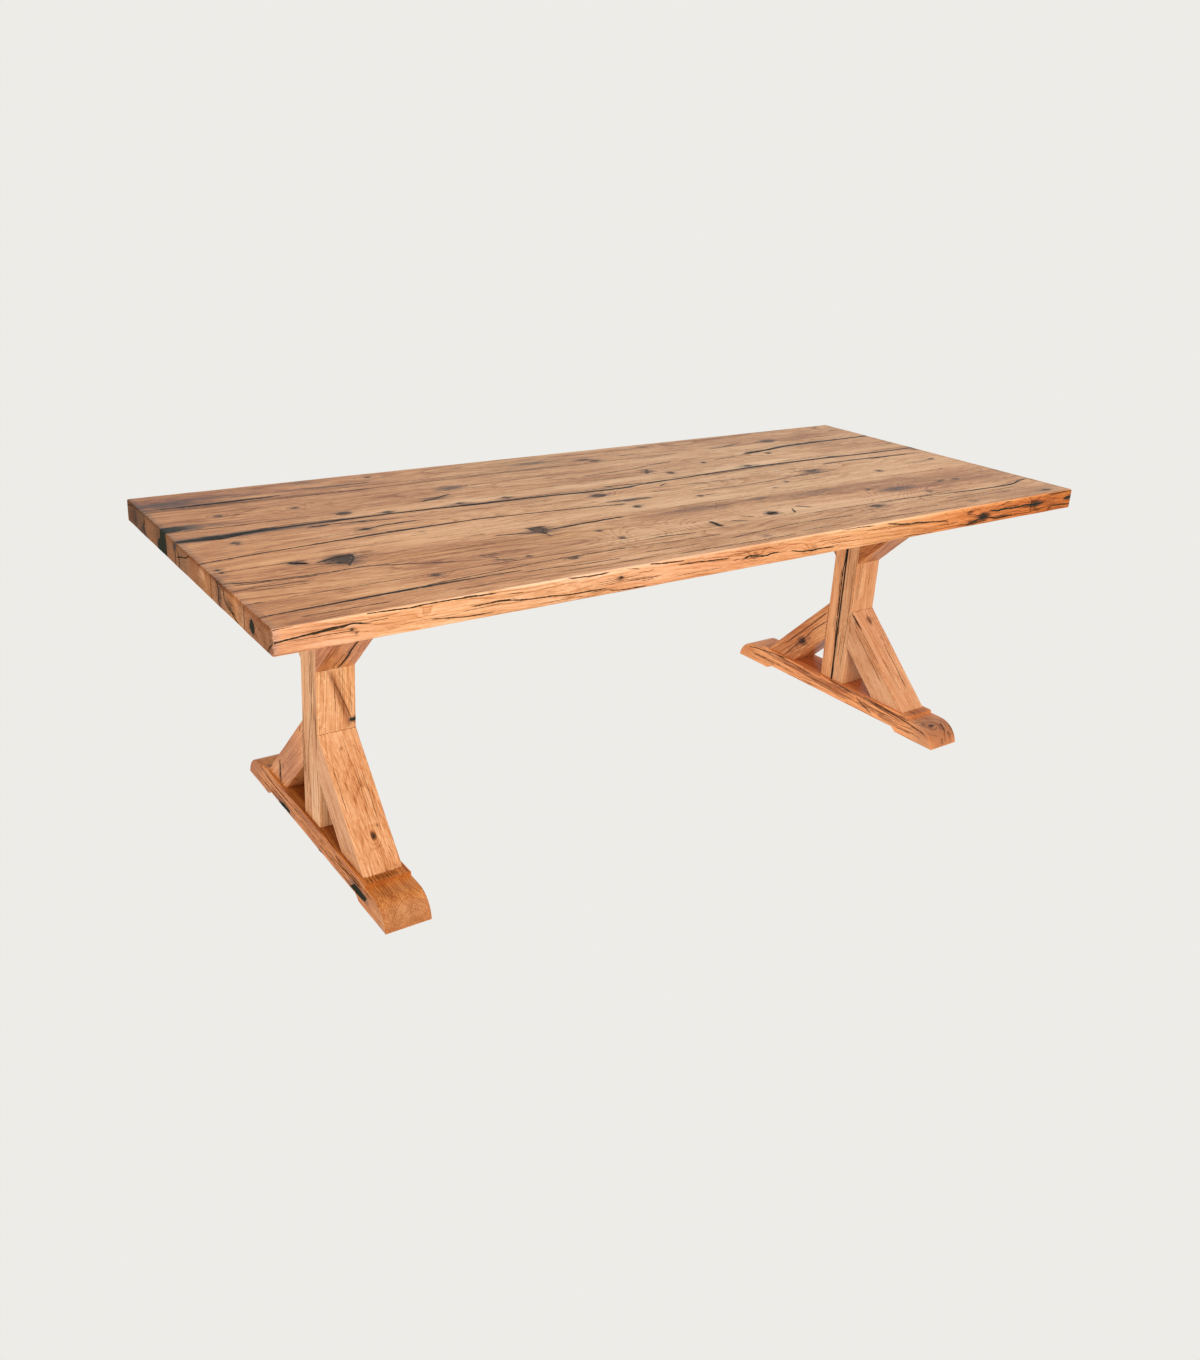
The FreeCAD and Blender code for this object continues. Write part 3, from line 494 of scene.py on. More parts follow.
shakes["top"] = [
    # back edge plank and back plank
    (1.7, [(-860, 401), (-780, 404), (-700, 397), (-600, 396)]),
    (3.6, [(-1168, 361), (-1100, 359), (-1040, 362), (-950, 362), (-855, 367)]),
    (1.5, [(-1200, 366), (-1140, 362), (-1000, 356), (-900, 362)]),
    (1.0, [(-1190, 350), (-1000, 348), (-820, 350), (-700, 349)]),
    (1.2, [(-1120, 336), (-1000, 334), (-900, 334), (-620, 338)]),
    (1.4, [(-1200, 341), (-1000, 341.5), (-700, 340.5), (-380, 341), (-60, 342), (160, 341), (420, 342)]),
    (1.2, [(-700, 372), (-560, 370), (-420, 366), (-300, 370)]),
    (1.3, [(-370, 352), (-250, 350), (-120, 352), (-20, 346)]), (2.2, [(210, 381), (250, 384), (280, 386)]),
    (2.0, [(532, 346), (570, 349), (606, 353)]), (2.4, [(604, 354), (625, 362), (660, 369), (692, 372)]),
    (1.2, [(840, 345), (980, 348), (1080, 344)]), (3.6, [(-562, 168), (-530, 176), (-495, 190), (-462, 203)]),
    (1.8, [(-30, 218), (60, 224), (140, 230), (220, 246), (290, 258), (318, 262)]),
    (1.6, [(455, 226), (520, 232), (590, 241), (640, 252)]),
    (4.6, [(604, 254), (640, 260), (700, 264), (765, 280), (840, 289), (940, 293), (1060, 290), (1200, 292)]),
    (2.6, [(600, 250), (650, 256), (710, 260), (760, 272)]), (1.1, [(-1122, 160), (-1080, 161), (-1005, 158)]),
    (1.0, [(-460, 240), (-360, 262), (-240, 266), (-120, 266), (-20, 262)]),
    (1.2, [(1100, 180), (1150, 172), (1200, 172)]), (1.2, [(330, 457), (365, 454), (410, 459)]),
    (1.0, [(980, 430), (1080, 434), (1190, 428)]), (0.9, [(900, 222), (1010, 218), (1150, 222)]),
    # narrow plank and the long seam
    (2.3, [(-1200, 92), (-1160, 92), (-1110, 90), (-1040, 98), (-960, 102), (-860, 103), (-700, 102), (-600, 100)]),
    (2.2, [(-1200, 86), (-1150, 80, 1.2), (-1100, 78, 1.5), (-1060, 86), (-1020, 96, 0.6)]),
    (2.0, [(-1150, 104), (-1090, 100), (-1030, 106), (-960, 110)]),
    (3.0, [(-640, 100), (-560, 96), (-440, 90), (-340, 87), (-240, 83), (-180, 78), (-120, 70), (-10, 64),
           (40, 66)]),
    (2.7, [(-50, 95), (20, 92), (60, 88), (200, 86), (300, 92), (400, 101), (540, 106), (700, 106), (830, 105)]),
    (2.6, [(820, 105), (900, 101), (1000, 98), (1110, 98), (1200, 98)]),
    (2.2, [(-905, 76), (-878, 77), (-840, 80), (-780, 72), (-720, 64), (-672, 60)]),
    (3.0, [(-900, 80), (-876, 76), (-850, 79)]), (3.0, [(-800, 76), (-778, 71), (-745, 67)]),
    (1.5, [(-1010, 112), (-900, 116), (-790, 110)]), (1.6, [(-330, 96), (-200, 92), (-90, 84), (-20, 84)]),
    (1.4, [(300, 84), (420, 90), (560, 96), (640, 94)]), (1.0, [(620, 128), (760, 124), (900, 129)]),
    (1.2, [(1020, 112), (1100, 114), (1200, 110)]),
    (1.3, [(-1200, 162), (-1120, 162.5), (-980, 161.5), (-860, 162)]),
    (0.9, [(-300, 162), (-60, 162.5), (200, 162), (430, 161.5)]),
    # middle plank
    (3.2, [(-752, 18), (-700, 24), (-646, 25)]), (1.4, [(-820, 2), (-790, 6), (-760, 14)]),
    (2.4, [(104, 42), (120, 49), (137, 56)]), (1.5, [(180, 23), (290, 19), (405, 8)]),
    (1.1, [(435, 38), (520, 36), (615, 40)]), (3.0, [(735, 45), (830, 49), (900, 48), (1000, 42), (1096, 36)]),
    (1.3, [(930, 34), (1040, 40), (1150, 42)]),
    (2.5, [(-1200, -75), (-1100, -62), (-1000, -54), (-900, -45), (-750, -33), (-600, -29), (-480, -29),
           (-400, -37), (-300, -45), (-200, -55), (-98, -67)]),
    (2.4, [(-136, -34), (-70, -40), (-20, -43), (6, -46)]), (2.0, [(-142, -62), (-122, -66), (-94, -69)]),
    (1.6, [(150, -40), (300, -50), (400, -46), (520, -36), (620, -30), (690, -27)]),
    (1.3, [(30, 0), (60, -2), (95, 2)]), (1.6, [(540, -30), (600, -20), (680, -30)]),
    (1.5, [(560, 6), (630, 8), (690, 2)]), (1.7, [(985, -54), (1040, -56), (1100, -48), (1140, -38)]),
    (1.6, [(128, -88), (160, -86), (196, -84)]), (0.9, [(-520, 52), (-380, 48), (-240, 50)]),
    (0.9, [(-980, -10), (-860, -4), (-760, -6)]), (1.1, [(-1200, -145), (-1080, -145.5), (-990, -145)]),
    (1.0, [(-615, -142), (-580, -144), (-555, -142)]), (0.8, [(-120, -145), (200, -145.5), (500, -145)]),
    # front plank
    (6.0, [(-1041, -143), (-1022, -154), (-999, -168)]),
    (3.2, [(-985, -172), (-950, -160), (-905, -151), (-882, -150)]),
    (2.2, [(-990, -182), (-950, -188), (-924, -204)]), (2.2, [(-893, -152), (-903, -180), (-930, -216)]),
    (1.4, [(-880, -150), (-860, -148), (-845, -152)]), (3.0, [(-542, -163), (-490, -174), (-440, -184)]),
    (3.0, [(-452, -146), (-425, -148), (-392, -150)]),
    (3.2, [(-400, -176), (-340, -174), (-280, -166), (-220, -163), (-172, -164)]),
    (1.6, [(-436, -190), (-426, -208), (-427, -226)]),
    (2.0, [(-1200, -215), (-1125, -231), (-1050, -237), (-980, -238), (-900, -236), (-830, -256), (-770, -274),
           (-715, -292)]),
    (1.4, [(-1180, -232), (-1100, -240), (-1010, -246)]),
    (1.5, [(-1200, -266), (-1140, -262), (-1080, -266), (-1028, -270)]),
    (1.0, [(-1160, -280), (-1100, -278), (-1040, -282)]), (0.8, [(134, -156), (112, -184), (84, -213)]),
    (2.0, [(-655, -278), (-630, -281), (-604, -281)]), (1.5, [(-648, -290), (-628, -300), (-622, -314)]),
    (2.4, [(-636, -315), (-616, -328), (-592, -340)]), (4.0, [(-3, -290), (-3, -312), (-3, -337)]),
    (6.5, [(181, -298), (198, -299), (216, -300)]), (2.5, [(52, -306), (72, -317), (92, -327)]),
    (2.2, [(105, -280), (116, -294), (132, -306)]), (2.4, [(259, -322), (270, -304), (280, -287)]),
    (3.0, [(306, -274), (320, -286), (338, -301)]), (1.2, [(1020, -153), (1036, -150), (1052, -143)]),
    (1.7, [(-1200, -347), (-1180, -346), (-1158, -347)]),
    (1.0, [(-1100, -342.5), (-760, -341.5), (-560, -342), (-380, -344), (-210, -342)]),
    (1.0, [(300, -342), (480, -342.5), (540, -344)]), (2.3, [(-212, -337), (-160, -342), (-98, -349)]),
    (2.2, [(560, -345), (660, -349), (750, -355), (870, -367), (960, -371), (1050, -375), (1095, -367),
           (1140, -349), (1186, -341)]),
    (1.2, [(690, -352), (760, -344), (860, -342)]),
    # front edge plank
    (1.6, [(-842, -398), (-740, -390), (-640, -382), (-560, -375), (-480, -373)]),
    (1.5, [(-480, -373), (-360, -374), (-280, -376), (-150, -383), (-52, -387)]),
    (1.6, [(-45, -420), (20, -413), (100, -405), (180, -399), (290, -397), (378, -408)]),
    (2.2, [(-1200, -420), (-1080, -415), (-960, -411), (-840, -407), (-720, -403), (-620, -405)]),
    (1.8, [(-615, -416), (-540, -419), (-490, -427), (-380, -430)]),
    (1.2, [(-300, -418), (-220, -422), (-150, -420)]), (1.3, [(-242, -462), (-120, -463), (0, -466), (122, -464)]),
    (1.3, [(150, -452), (220, -450), (288, -452)]), (1.5, [(390, -455), (520, -460), (640, -468), (750, -473)]),
    (1.2, [(-1132, -451), (-1040, -450), (-948, -452)]), (1.2, [(-800, -448), (-700, -447), (-620, -450)]),
    (1.2, [(-555, -450), (-430, -453), (-300, -452)]), (1.1, [(700, -420), (860, -414), (1010, -418)]),
    (1.1, [(760, -395), (920, -398), (1060, -392)]), (1.1, [(520, -430), (600, -427), (680, -432)]),
]
pools["top"] = [
    [(-968, -171), (-944, -157), (-912, -148), (-900, -152), (-925, -168), (-948, -178)],
    [(-914, -150), (-891, -147), (-896, -170), (-912, -196), (-926, -218), (-932, -200), (-918, -176)],
    [(-952, -182), (-932, -180), (-920, -190), (-926, -202)],
    [(-1038, -143), (-1024, -145), (-1002, -162), (-1004, -170), (-1026, -158)],
    [(-447, -158), (-425, -149), (-404, -159), (-401, -175), (-422, -186), (-440, -178)],
    [(180, -298), (196, -284), (212, -292), (217, -304), (200, -315), (184, -309)],
    [(-8, -291), (3, -291), (6, -312), (3, -336), (-8, -336), (-9, -312)],
    [(-136, 30), (-116, 43), (-94, 40), (-88, 26), (-106, 14), (-128, 18)],
    [(-797, 152), (-778, 164), (-758, 154), (-762, 144), (-782, 140)],
    [(150, 166), (166, 172), (192, 206), (182, 210), (164, 190)],
    [(216, 150), (226, 164), (240, 156), (236, 140), (222, 138)], [(393, 205), (402, 220), (412, 216), (404, 204)],
    [(668, 222), (678, 238), (692, 238), (686, 222)], [(-592, 445), (-580, 457), (-570, 452), (-578, 441)],
    [(-1062, 250), (-1052, 258), (-1042, 251), (-1050, 243)], [(-880, 243), (-866, 249), (-854, 244), (-866, 238)],
    [(70, 384), (88, 394), (102, 384), (92, 376)], [(96, 366), (110, 372), (126, 362), (112, 352)],
    [(772, 358), (800, 372), (836, 362), (824, 350), (790, 350)],
    [(-1096, 34), (-1086, 44), (-1076, 30), (-1084, 16)], [(-808, 8), (-788, 20), (-770, 12), (-784, 2)],
    [(-694, 117), (-676, 126), (-662, 116), (-680, 108)], [(-496, 115), (-480, 122), (-462, 115), (-480, 108)],
    [(-362, 113), (-346, 123), (-330, 112), (-344, 104)], [(484, 124), (502, 134), (520, 124), (500, 116)],
    [(814, 104), (834, 114), (856, 106), (838, 98)], [(1170, 76), (1182, 80), (1192, 75), (1180, 71)],
    [(612, -2), (636, 8), (660, -2), (640, -12)], [(-98, -102), (-84, -91), (-68, -100), (-82, -112)],
    [(128, -88), (138, -80), (150, -88), (138, -94)], [(462, -70), (471, -64), (479, -71), (470, -76)],
    [(824, -88), (834, -79), (844, -88), (835, -96)], [(382, -108), (390, -104), (398, -108), (390, -112)],
    [(1104, -46), (1118, -38), (1132, -44), (1120, -52)], [(-810, -351), (-796, -342), (-782, -352), (-796, -360)],
    [(486, -368), (506, -356), (536, -368), (510, -382)], [(-488, -380), (-472, -371), (-456, -380), (-470, -390)],
    [(-1188, -128), (-1179, -122), (-1171, -128), (-1179, -134)],
    [(-1184, -146), (-1177, -142), (-1170, -148), (-1178, -152)],
    [(-561, -327), (-553, -321), (-546, -328), (-553, -334)],
    [(-307, -235), (-298, -228), (-290, -236), (-298, -242)],
    [(-290, -307), (-282, -298), (-275, -307), (-282, -316)], [(768, -322), (776, -314), (783, -323), (776, -332)],
    [(613, -236), (622, -230), (631, -236), (622, -243)], [(895, -253), (907, -247), (918, -254), (907, -260)],
    [(958, -256), (972, -249), (984, -256), (972, -263)], [(1098, -456), (1116, -449), (1140, -456), (1120, -463)],
]
stainsAndShade["top"] = [
    (-1150, 402, 110, 19, 0.84), (-1040, 419, 130, 6, 0.75), (-1120, 382, 110, 7, 0.8), (-1040, 364, 190, 10, 0.8),
    (-960, 404, 90, 7, 0.58), (-700, 399, 150, 12, 0.55), (-757, 462, 56, 24, 0.42), (-70, 408, 88, 19, 0.62),
    (-20, 400, 30, 10, 0.3), (84, 384, 36, 15, 0.6), (110, 360, 28, 14, 0.6), (360, 455, 22, 12, 0.55),
    (445, 465, 28, 9, 0.42), (850, 483, 62, 12, 0.35), (1125, 458, 24, 12, 0.55), (1150, 408, 36, 11, 0.45),
    (1100, 315, 34, 9, 0.35), (-340, 440, 30, 22, 0.16), (-430, 258, 52, 19, 0.68), (-515, 180, 52, 15, 0.6),
    (-372, 236, 10, 8, 0.4), (-1156, 190, 56, 23, 0.95), (-1090, 196, 50, 12, 0.5), (-1085, 180, 90, 8, 0.45),
    (635, 258, 44, 15, 0.6), (900, 290, 320, 14, 0.36), (615, 360, 95, 14, 0.42), (803, 362, 48, 20, 0.66),
    (172, 188, 28, 24, 0.4), (228, 150, 18, 18, 0.5), (680, 230, 20, 14, 0.4), (402, 212, 16, 14, 0.4),
    (840, 243, 18, 14, 0.3), (1160, 174, 56, 9, 0.35), (285, 258, 50, 9, 0.35), (-780, 154, 36, 17, 0.55),
    (-1110, 92, 120, 22, 0.85), (-900, 104, 300, 12, 0.6), (-960, 92, 120, 14, 0.7), (-500, 96, 260, 10, 0.42),
    (-680, 117, 34, 12, 0.5), (-480, 114, 46, 12, 0.55), (-345, 113, 36, 13, 0.55), (-120, 74, 160, 12, 0.45),
    (-878, 77, 34, 12, 0.5), (-765, 70, 60, 12, 0.5), (400, 100, 360, 9, 0.34), (502, 124, 46, 15, 0.5),
    (838, 107, 60, 13, 0.5), (1040, 99, 240, 9, 0.3), (-1085, 32, 18, 22, 0.55), (-786, 12, 34, 15, 0.5),
    (-700, 22, 70, 9, 0.35), (-112, 30, 40, 22, 0.62), (122, 49, 26, 11, 0.4), (290, 18, 130, 8, 0.28),
    (910, 46, 210, 9, 0.35), (637, -5, 52, 22, 0.6), (620, -30, 90, 10, 0.35), (-55, -42, 70, 15, 0.6),
    (-118, -66, 38, 9, 0.4), (300, -45, 200, 8, 0.26), (-82, -101, 26, 15, 0.5), (140, -87, 22, 11, 0.45),
    (835, -88, 20, 13, 0.4), (710, -80, 24, 9, 0.28), (470, -70, 18, 9, 0.35), (-680, -61, 16, 13, 0.4),
    (1060, -50, 90, 10, 0.36), (1118, -45, 28, 11, 0.45), (-495, -16, 14, 7, 0.4), (90, 0, 50, 8, 0.25),
    (-1179, -135, 18, 26, 0.45), (-1176, -172, 22, 9, 0.35), (-925, -172, 56, 34, 0.62), (-1000, -165, 30, 12, 0.3),
    (-424, -172, 52, 30, 0.55), (-427, -222, 14, 12, 0.4), (-298, -235, 16, 11, 0.45), (-282, -307, 14, 13, 0.4),
    (-220, -212, 34, 9, 0.25), (60, -188, 112, 24, 0.45), (100, -196, 50, 20, 0.42), (266, -176, 44, 20, 0.42),
    (442, -193, 105, 18, 0.42), (370, -200, 24, 14, 0.45), (515, -205, 26, 12, 0.4), (708, -263, 82, 22, 0.72),
    (735, -274, 36, 14, 0.4), (622, -237, 20, 11, 0.45), (907, -253, 22, 11, 0.4), (972, -256, 24, 11, 0.45),
    (776, -322, 16, 13, 0.4), (198, -300, 28, 19, 0.75), (-630, -296, 36, 22, 0.28), (-612, -328, 34, 16, 0.4),
    (-796, -351, 26, 14, 0.5), (-472, -380, 28, 14, 0.5), (512, -368, 46, 19, 0.55), (560, -352, 60, 9, 0.35),
    (870, -366, 300, 8, 0.28), (1140, -350, 70, 9, 0.3), (45, -446, 26, 22, 0.4), (805, -450, 24, 13, 0.42),
    (1118, -456, 46, 13, 0.55), (-1100, -236, 130, 9, 0.35), (-950, -238, 120, 7, 0.3), (-1120, -266, 100, 8, 0.3),
    (-1180, -215, 30, 12, 0.4), (-600, -460, 120, 8, 0.2), (1180, 78, 26, 12, 0.4), (-645, 57, 9, 7, 0.4),
    (-232, 57, 9, 7, 0.35), (-1095, 138, 12, 8, 0.3), (300, -120, 60, 7, 0.15), (-640, -418, 60, 7, 0.2),
]
knots["top"] = [
    (-582, 449, 9, 0.5), (-1052, 250, 8, 0.5), (-868, 243, 8, 0.5), (84, 384, 13, 0.5), (110, 362, 12, 0.5),
    (360, 455, 9, 0.5), (803, 361, 18, 0.6), (640, 360, 10, 0.3), (-112, 30, 17, 0.6), (-680, 117, 10, 0.5),
    (-480, 115, 9, 0.5), (-345, 113, 9, 0.5), (500, 125, 10, 0.5), (836, 106, 12, 0.5), (1180, 75, 8, 0.4),
    (-778, 152, 12, 0.6), (637, -3, 14, 0.5), (138, -87, 7, 0.4), (470, -71, 6, 0.4), (835, -88, 8, 0.4),
    (-424, -172, 20, 0.6), (-796, -351, 10, 0.5), (510, -368, 14, 0.5), (-472, -380, 9, 0.5), (-926, -172, 26, 0.6),
    (-680, -61, 9, 0.3), (198, -300, 13, 0.4), (907, -254, 8, 0.4), (972, -256, 9, 0.4), (228, 150, 10, 0.4),
    (1150, 408, 8, 0.4), (1120, -456, 10, 0.5), (-84, -101, 9, 0.5), (-1086, 32, 9, 0.5), (-430, 258, 14, 0.4),
    (1118, -45, 8, 0.4), (708, -262, 20, 0.3), (45, -446, 10, 0.3), (620, -300, 30, 0.0), (-200, -300, 34, 0.0),
]
tints["top"] = [
    (-1120, 0, 190, 700, -0.14), (-580, -218, 330, 40, -0.2, -0.1), (-720, -200, 160, 34, -0.12, -0.05),
    (310, -196, 420, 30, -0.25, -0.02), (900, -235, 420, 62, -0.24, -0.1), (-60, -180, 130, 30, -0.14, 0.12),
    (400, -305, 380, 36, 0.34, -0.03), (-210, -298, 190, 34, 0.26, 0.1), (-980, -308, 170, 38, 0.3, 0.02),
    (-1110, -160, 90, 12, 0.1), (-600, -112, 620, 26, 0.2), (400, -118, 820, 24, 0.22), (200, 130, 800, 22, 0.2),
    (700, 40, 500, 34, 0.1), (-1000, 440, 240, 40, -0.25), (-900, 230, 340, 60, -0.1),
    (200, 310, 460, 26, 0.16, 0.02), (-640, 207, 300, 50, -0.12), (-450, 300, 200, 50, -0.18),
    (-1000, -440, 300, 36, -0.06), (700, -430, 560, 40, -0.12), (60, 415, 420, 80, 0.12), (1080, 415, 160, 80, 0.1),
    (780, 300, 200, 50, 0.1), (700, 128, 220, 34, 0.22), (-350, 128, 700, 34, 0.1), (-760, 55, 180, 40, -0.12),
    (-150, 55, 190, 40, -0.12), (1050, 55, 180, 40, -0.1), (-450, -25, 160, 40, 0.1), (750, -25, 180, 40, -0.12),
    (900, -80, 300, 40, 0.08), (-750, -194, 160, 50, 0.14), (-620, -292, 320, 50, -0.2),
    (760, -292, 180, 50, -0.22), (1020, -378, 240, 40, 0.22), (-450, -450, 180, 50, 0.14),
    (450, -450, 180, 50, 0.12), (-500, 420, 400, 26, -0.08),
]
washes["top"] = [
    (-1130, 0, 180, 900, (1.0, 0.97, 0.88)), (-1140, 402, 110, 34, (0.8, 0.62, 0.46)),
    (80, 0, 620, 900, (1.02, 1.14, 1.29)), (900, 0, 560, 900, (1.08, 1.18, 1.3)),
    (-620, -215, 330, 30, (1.0, 0.97, 0.82), -0.06), (620, -250, 260, 30, (1.0, 0.94, 0.88), -0.1),
    (0, 128, 1400, 30, (1.03, 1.07, 1.14)), (700, 128, 260, 30, (1.04, 1.04, 1.05)),
    (-1100, 330, 150, 170, (0.96, 0.94, 0.88)), (-150, 415, 170, 70, (1.03, 1.1, 1.14)),
    (-450, 15, 150, 75, (1.06, 1.08, 1.11)), (600, -292, 300, 45, (0.97, 0.92, 0.91)),
    (-750, -292, 420, 45, (0.95, 0.94, 0.92)), (1050, -195, 150, 55, (0.97, 0.92, 0.88)),
    (1050, -450, 150, 45, (0.9, 0.91, 0.95)),
]

shakes["front"] = [
    (1.9, [(-1200, 753), (-1160, 756), (-1105, 759), (-1065, 761), (-1045, 764.5), (-1005, 758)]),
    (1.0, [(-1150, 756), (-1100, 762), (-1040, 765)]), (1.3, [(-1200, 778), (-1180, 780), (-1160, 780)]),
    (1.5, [(-1013, 779), (-981, 778), (-925, 775), (-905, 776), (-873, 777), (-805, 776), (-775, 775),
           (-729, 774)]),
    (2.0, [(-812, 776), (-790, 776.5), (-772, 775)]), (1.0, [(-877, 744), (-805, 736), (-737, 734)]),
    (1.3, [(-789, 754), (-757, 755), (-705, 754), (-655, 748), (-595, 746), (-565, 742), (-509, 741), (-457, 741)]),
    (0.8, [(-709, 767), (-665, 765)]), (1.4, [(-557, 780), (-541, 777), (-493, 775), (-457, 775)]),
    (1.2, [(-449, 734), (-405, 730.5), (-349, 729.5)]), (0.8, [(-405, 777), (-369, 771)]),
    (1.4, [(-341, 778), (-305, 775), (-245, 772)]), (1.4, [(-261, 764), (-205, 763), (-157, 760), (-109, 758)]),
    (2.0, [(-69, 750), (-45, 755), (-17, 750), (5, 748), (20, 751), (47, 752)]), (0.8, [(-97, 750), (-77, 752)]),
    (1.4, [(87, 749), (115, 743), (155, 740), (183, 741), (235, 739)]), (1.9, [(140, 741), (160, 740), (184, 742)]),
    (1.2, [(255, 780), (299, 777), (315, 778), (371, 775)]),
    (1.6, [(419, 774), (455, 769), (495, 764), (527, 763), (571, 759), (640, 754), (660, 751)]),
    (0.8, [(487, 731), (560, 730), (605, 729)]), (2.2, [(735, 730), (760, 735), (783, 740), (803, 750)]),
    (1.9, [(812, 744), (838, 739), (875, 734), (930, 736)]),
    (2.6, [(831, 760), (867, 756), (899, 758), (939, 755), (987, 758), (1010, 756)]),
    (2.8, [(990, 757), (1027, 755), (1071, 755)]), (1.7, [(1013, 771), (1016, 755), (1011, 739)]),
    (1.4, [(1030, 768), (1027, 752), (1032, 742)]), (1.4, [(1091, 732), (1115, 741), (1155, 739), (1200, 737)]),
    (3.4, [(1164, 755), (1185, 758), (1200, 759)]), (1.4, [(1080, 777), (1130, 778), (1200, 777)]),
    (0.9, [(620, 744), (660, 742), (700, 744)]), (0.9, [(690, 735), (760, 732), (830, 734)]),
    (1.0, [(880, 769), (900, 776), (925, 774)]),
]
pools["front"] = [
    [(-1048, 752), (-1045, 755), (-1042, 752), (-1045, 749)],
    [(-1038, 744), (-1036, 745.5), (-1034, 744), (-1036, 743)],
    [(-426, 759), (-419, 762), (-412, 758), (-420, 756)],
    [(792, 744), (802, 756), (812, 750), (822, 744), (808, 740), (797, 738)],
    [(1014, 752), (1026, 759), (1044, 756), (1040, 750), (1024, 750)],
]
stainsAndShade["front"] = [
    (-889, 757, 9, 4, 0.3), (-421, 759, 18, 5, 0.5), (-446, 761, 12, 3, 0.4), (-574, 754, 6, 3, 0.4),
    (-29, 752, 26, 6, 0.6), (47, 771, 10, 5, 0.25), (165, 749, 12, 8, 0.25), (160, 741, 40, 5, 0.45),
    (747, 763, 16, 8, 0.55), (807, 746, 34, 12, 0.85), (770, 736, 40, 8, 0.6), (930, 757, 110, 7, 0.45),
    (1030, 755, 44, 9, 0.8), (1100, 752, 50, 8, 0.4), (1047, 733, 10, 5, 0.5), (1186, 757, 24, 8, 0.8),
    (860, 738, 60, 5, 0.5), (1140, 776, 60, 5, 0.5), (560, 760, 60, 4, 0.25), (-540, 778, 60, 4, 0.1),
]
knots["front"] = [
    (-421, 759, 6, 0.5), (-29, 752, 8, 0.5), (165, 749, 8, 0.3), (747, 763, 8, 0.5), (807, 746, 14, 0.9),
    (1030, 755, 14, 0.8), (-889, 757, 5, 0.3), (47, 771, 6, 0.2),
]
# The narrow pale zone at (-520, 777), along the top arris, is a painted highlight.
tints["front"] = [
    (-1100, 752, 160, 40, -0.06), (-520, 777, 70, 6, 0.3), (-100, 752, 600, 50, 0.08), (450, 752, 190, 50, 0.12),
    (820, 752, 260, 50, -0.08), (1150, 752, 190, 50, -0.2), (600, 752, 300, 50, -0.04),
]
washes["front"] = [
    (-640, 752, 200, 80, (1.03, 1.12, 1.22)), (-1160, 752, 140, 80, (1.0, 1.05, 1.3)),
    (-700, 752, 620, 80, (0.97, 1.03, 1.26)), (-100, 752, 300, 80, (0.94, 0.86, 0.82)),
    (100, 752, 620, 80, (0.96, 0.98, 1.08)), (720, 752, 160, 80, (0.94, 0.8, 0.66)),
    (820, 752, 300, 80, (1.0, 0.88, 0.78)), (1040, 752, 240, 80, (0.96, 0.82, 0.64)),
    (1160, 752, 240, 80, (1.04, 0.86, 0.52)),
]

shakes["leftEnd"] = [
    (1.5, [(-488, 767), (-462, 771), (-436, 777)]), (1.5, [(-87, 748), (-56, 757), (-19, 766), (6, 778)]),
    (2.4, [(-95, 780), (-95.5, 752), (-94.5, 725)]), (1.8, [(-74, 762), (-70, 745), (-66, 727)]),
    (2.2, [(186, 778), (196, 752), (192, 738), (204, 729)]),
    (1.8, [(222, 776), (232, 752), (260, 741), (312, 728)]), (1.4, [(250, 750), (272, 742), (300, 738)]),
    (1.2, [(145, 780), (145, 750), (145.5, 725)]), (1.6, [(462, 726), (474, 740), (487, 750)]),
    (1.4, [(342, 780), (342, 752), (341.5, 725)]), (1.2, [(-342, 780), (-342, 752), (-341.5, 725)]),
    (1.5, [(-330, 770), (-345, 745), (-338, 730)]), (1.2, [(-162, 780), (-162, 755), (-161.5, 725)]),
]
pools["leftEnd"] = [
    [(-207, 777), (-168, 778), (-163, 754), (-158, 728), (-226, 730), (-234, 740), (-222, 748), (-208, 758)],
    [(370, 748), (376, 760), (385, 766), (396, 758), (398, 745), (392, 736), (380, 737), (372, 742)],
]
stainsAndShade["leftEnd"] = [
    (-415, 752, 18, 34, 0.6), (-347, 743, 15, 14, 0.75), (-100, 768, 17, 14, 0.75), (-68, 745, 9, 24, 0.45),
    (198, 750, 17, 30, 0.65), (258, 748, 32, 16, 0.55), (384, 750, 22, 20, 0.15), (480, 745, 12, 22, 0.4),
    (-300, 779, 200, 4, 0.55), (200, 779, 120, 4, 0.5), (30, 779, 30, 3, 0.4), (60, 740, 34, 14, 0.25),
    (-200, 750, 56, 30, 0.5), (320, 752, 22, 24, 0.35),
]
knots["leftEnd"] = [(-347, 743, 12, 0.8), (384, 750, 14, 0.15)]
tints["leftEnd"] = [
    (0, 752, 900, 60, -0.2), (-300, 752, 300, 60, -0.25), (87, 764, 18, 12, 0.3), (-260, 752, 60, 30, -0.15),
    (-440, 752, 50, 30, -0.2),
]
washes["leftEnd"] = [
    (0, 752, 900, 90, (0.9, 1.24, 2.1)), (190, 778, 340, 8, (0.8, 0.68, 0.58)),
    (205, 776, 36, 9, (0.7, 0.68, 0.66)), (-447, 752, 42, 60, (0.7, 0.66, 0.62)),
    (-366, 752, 42, 60, (0.72, 0.82, 0.95)), (-285, 752, 36, 60, (1.12, 1.2, 1.22)),
    (-122, 752, 36, 60, (1.12, 1.18, 1.3)), (-41, 752, 40, 60, (0.86, 0.94, 1.02)),
    (41, 752, 40, 60, (0.96, 0.84, 0.7)), (122, 752, 40, 60, (1.12, 1.0, 0.8)),
    (203, 752, 40, 60, (0.98, 0.9, 0.82)), (285, 752, 40, 60, (1.25, 1.08, 0.82)),
    (366, 752, 36, 60, (1.2, 1.15, 1.2)), (447, 752, 42, 60, (0.84, 0.76, 0.7)),
]

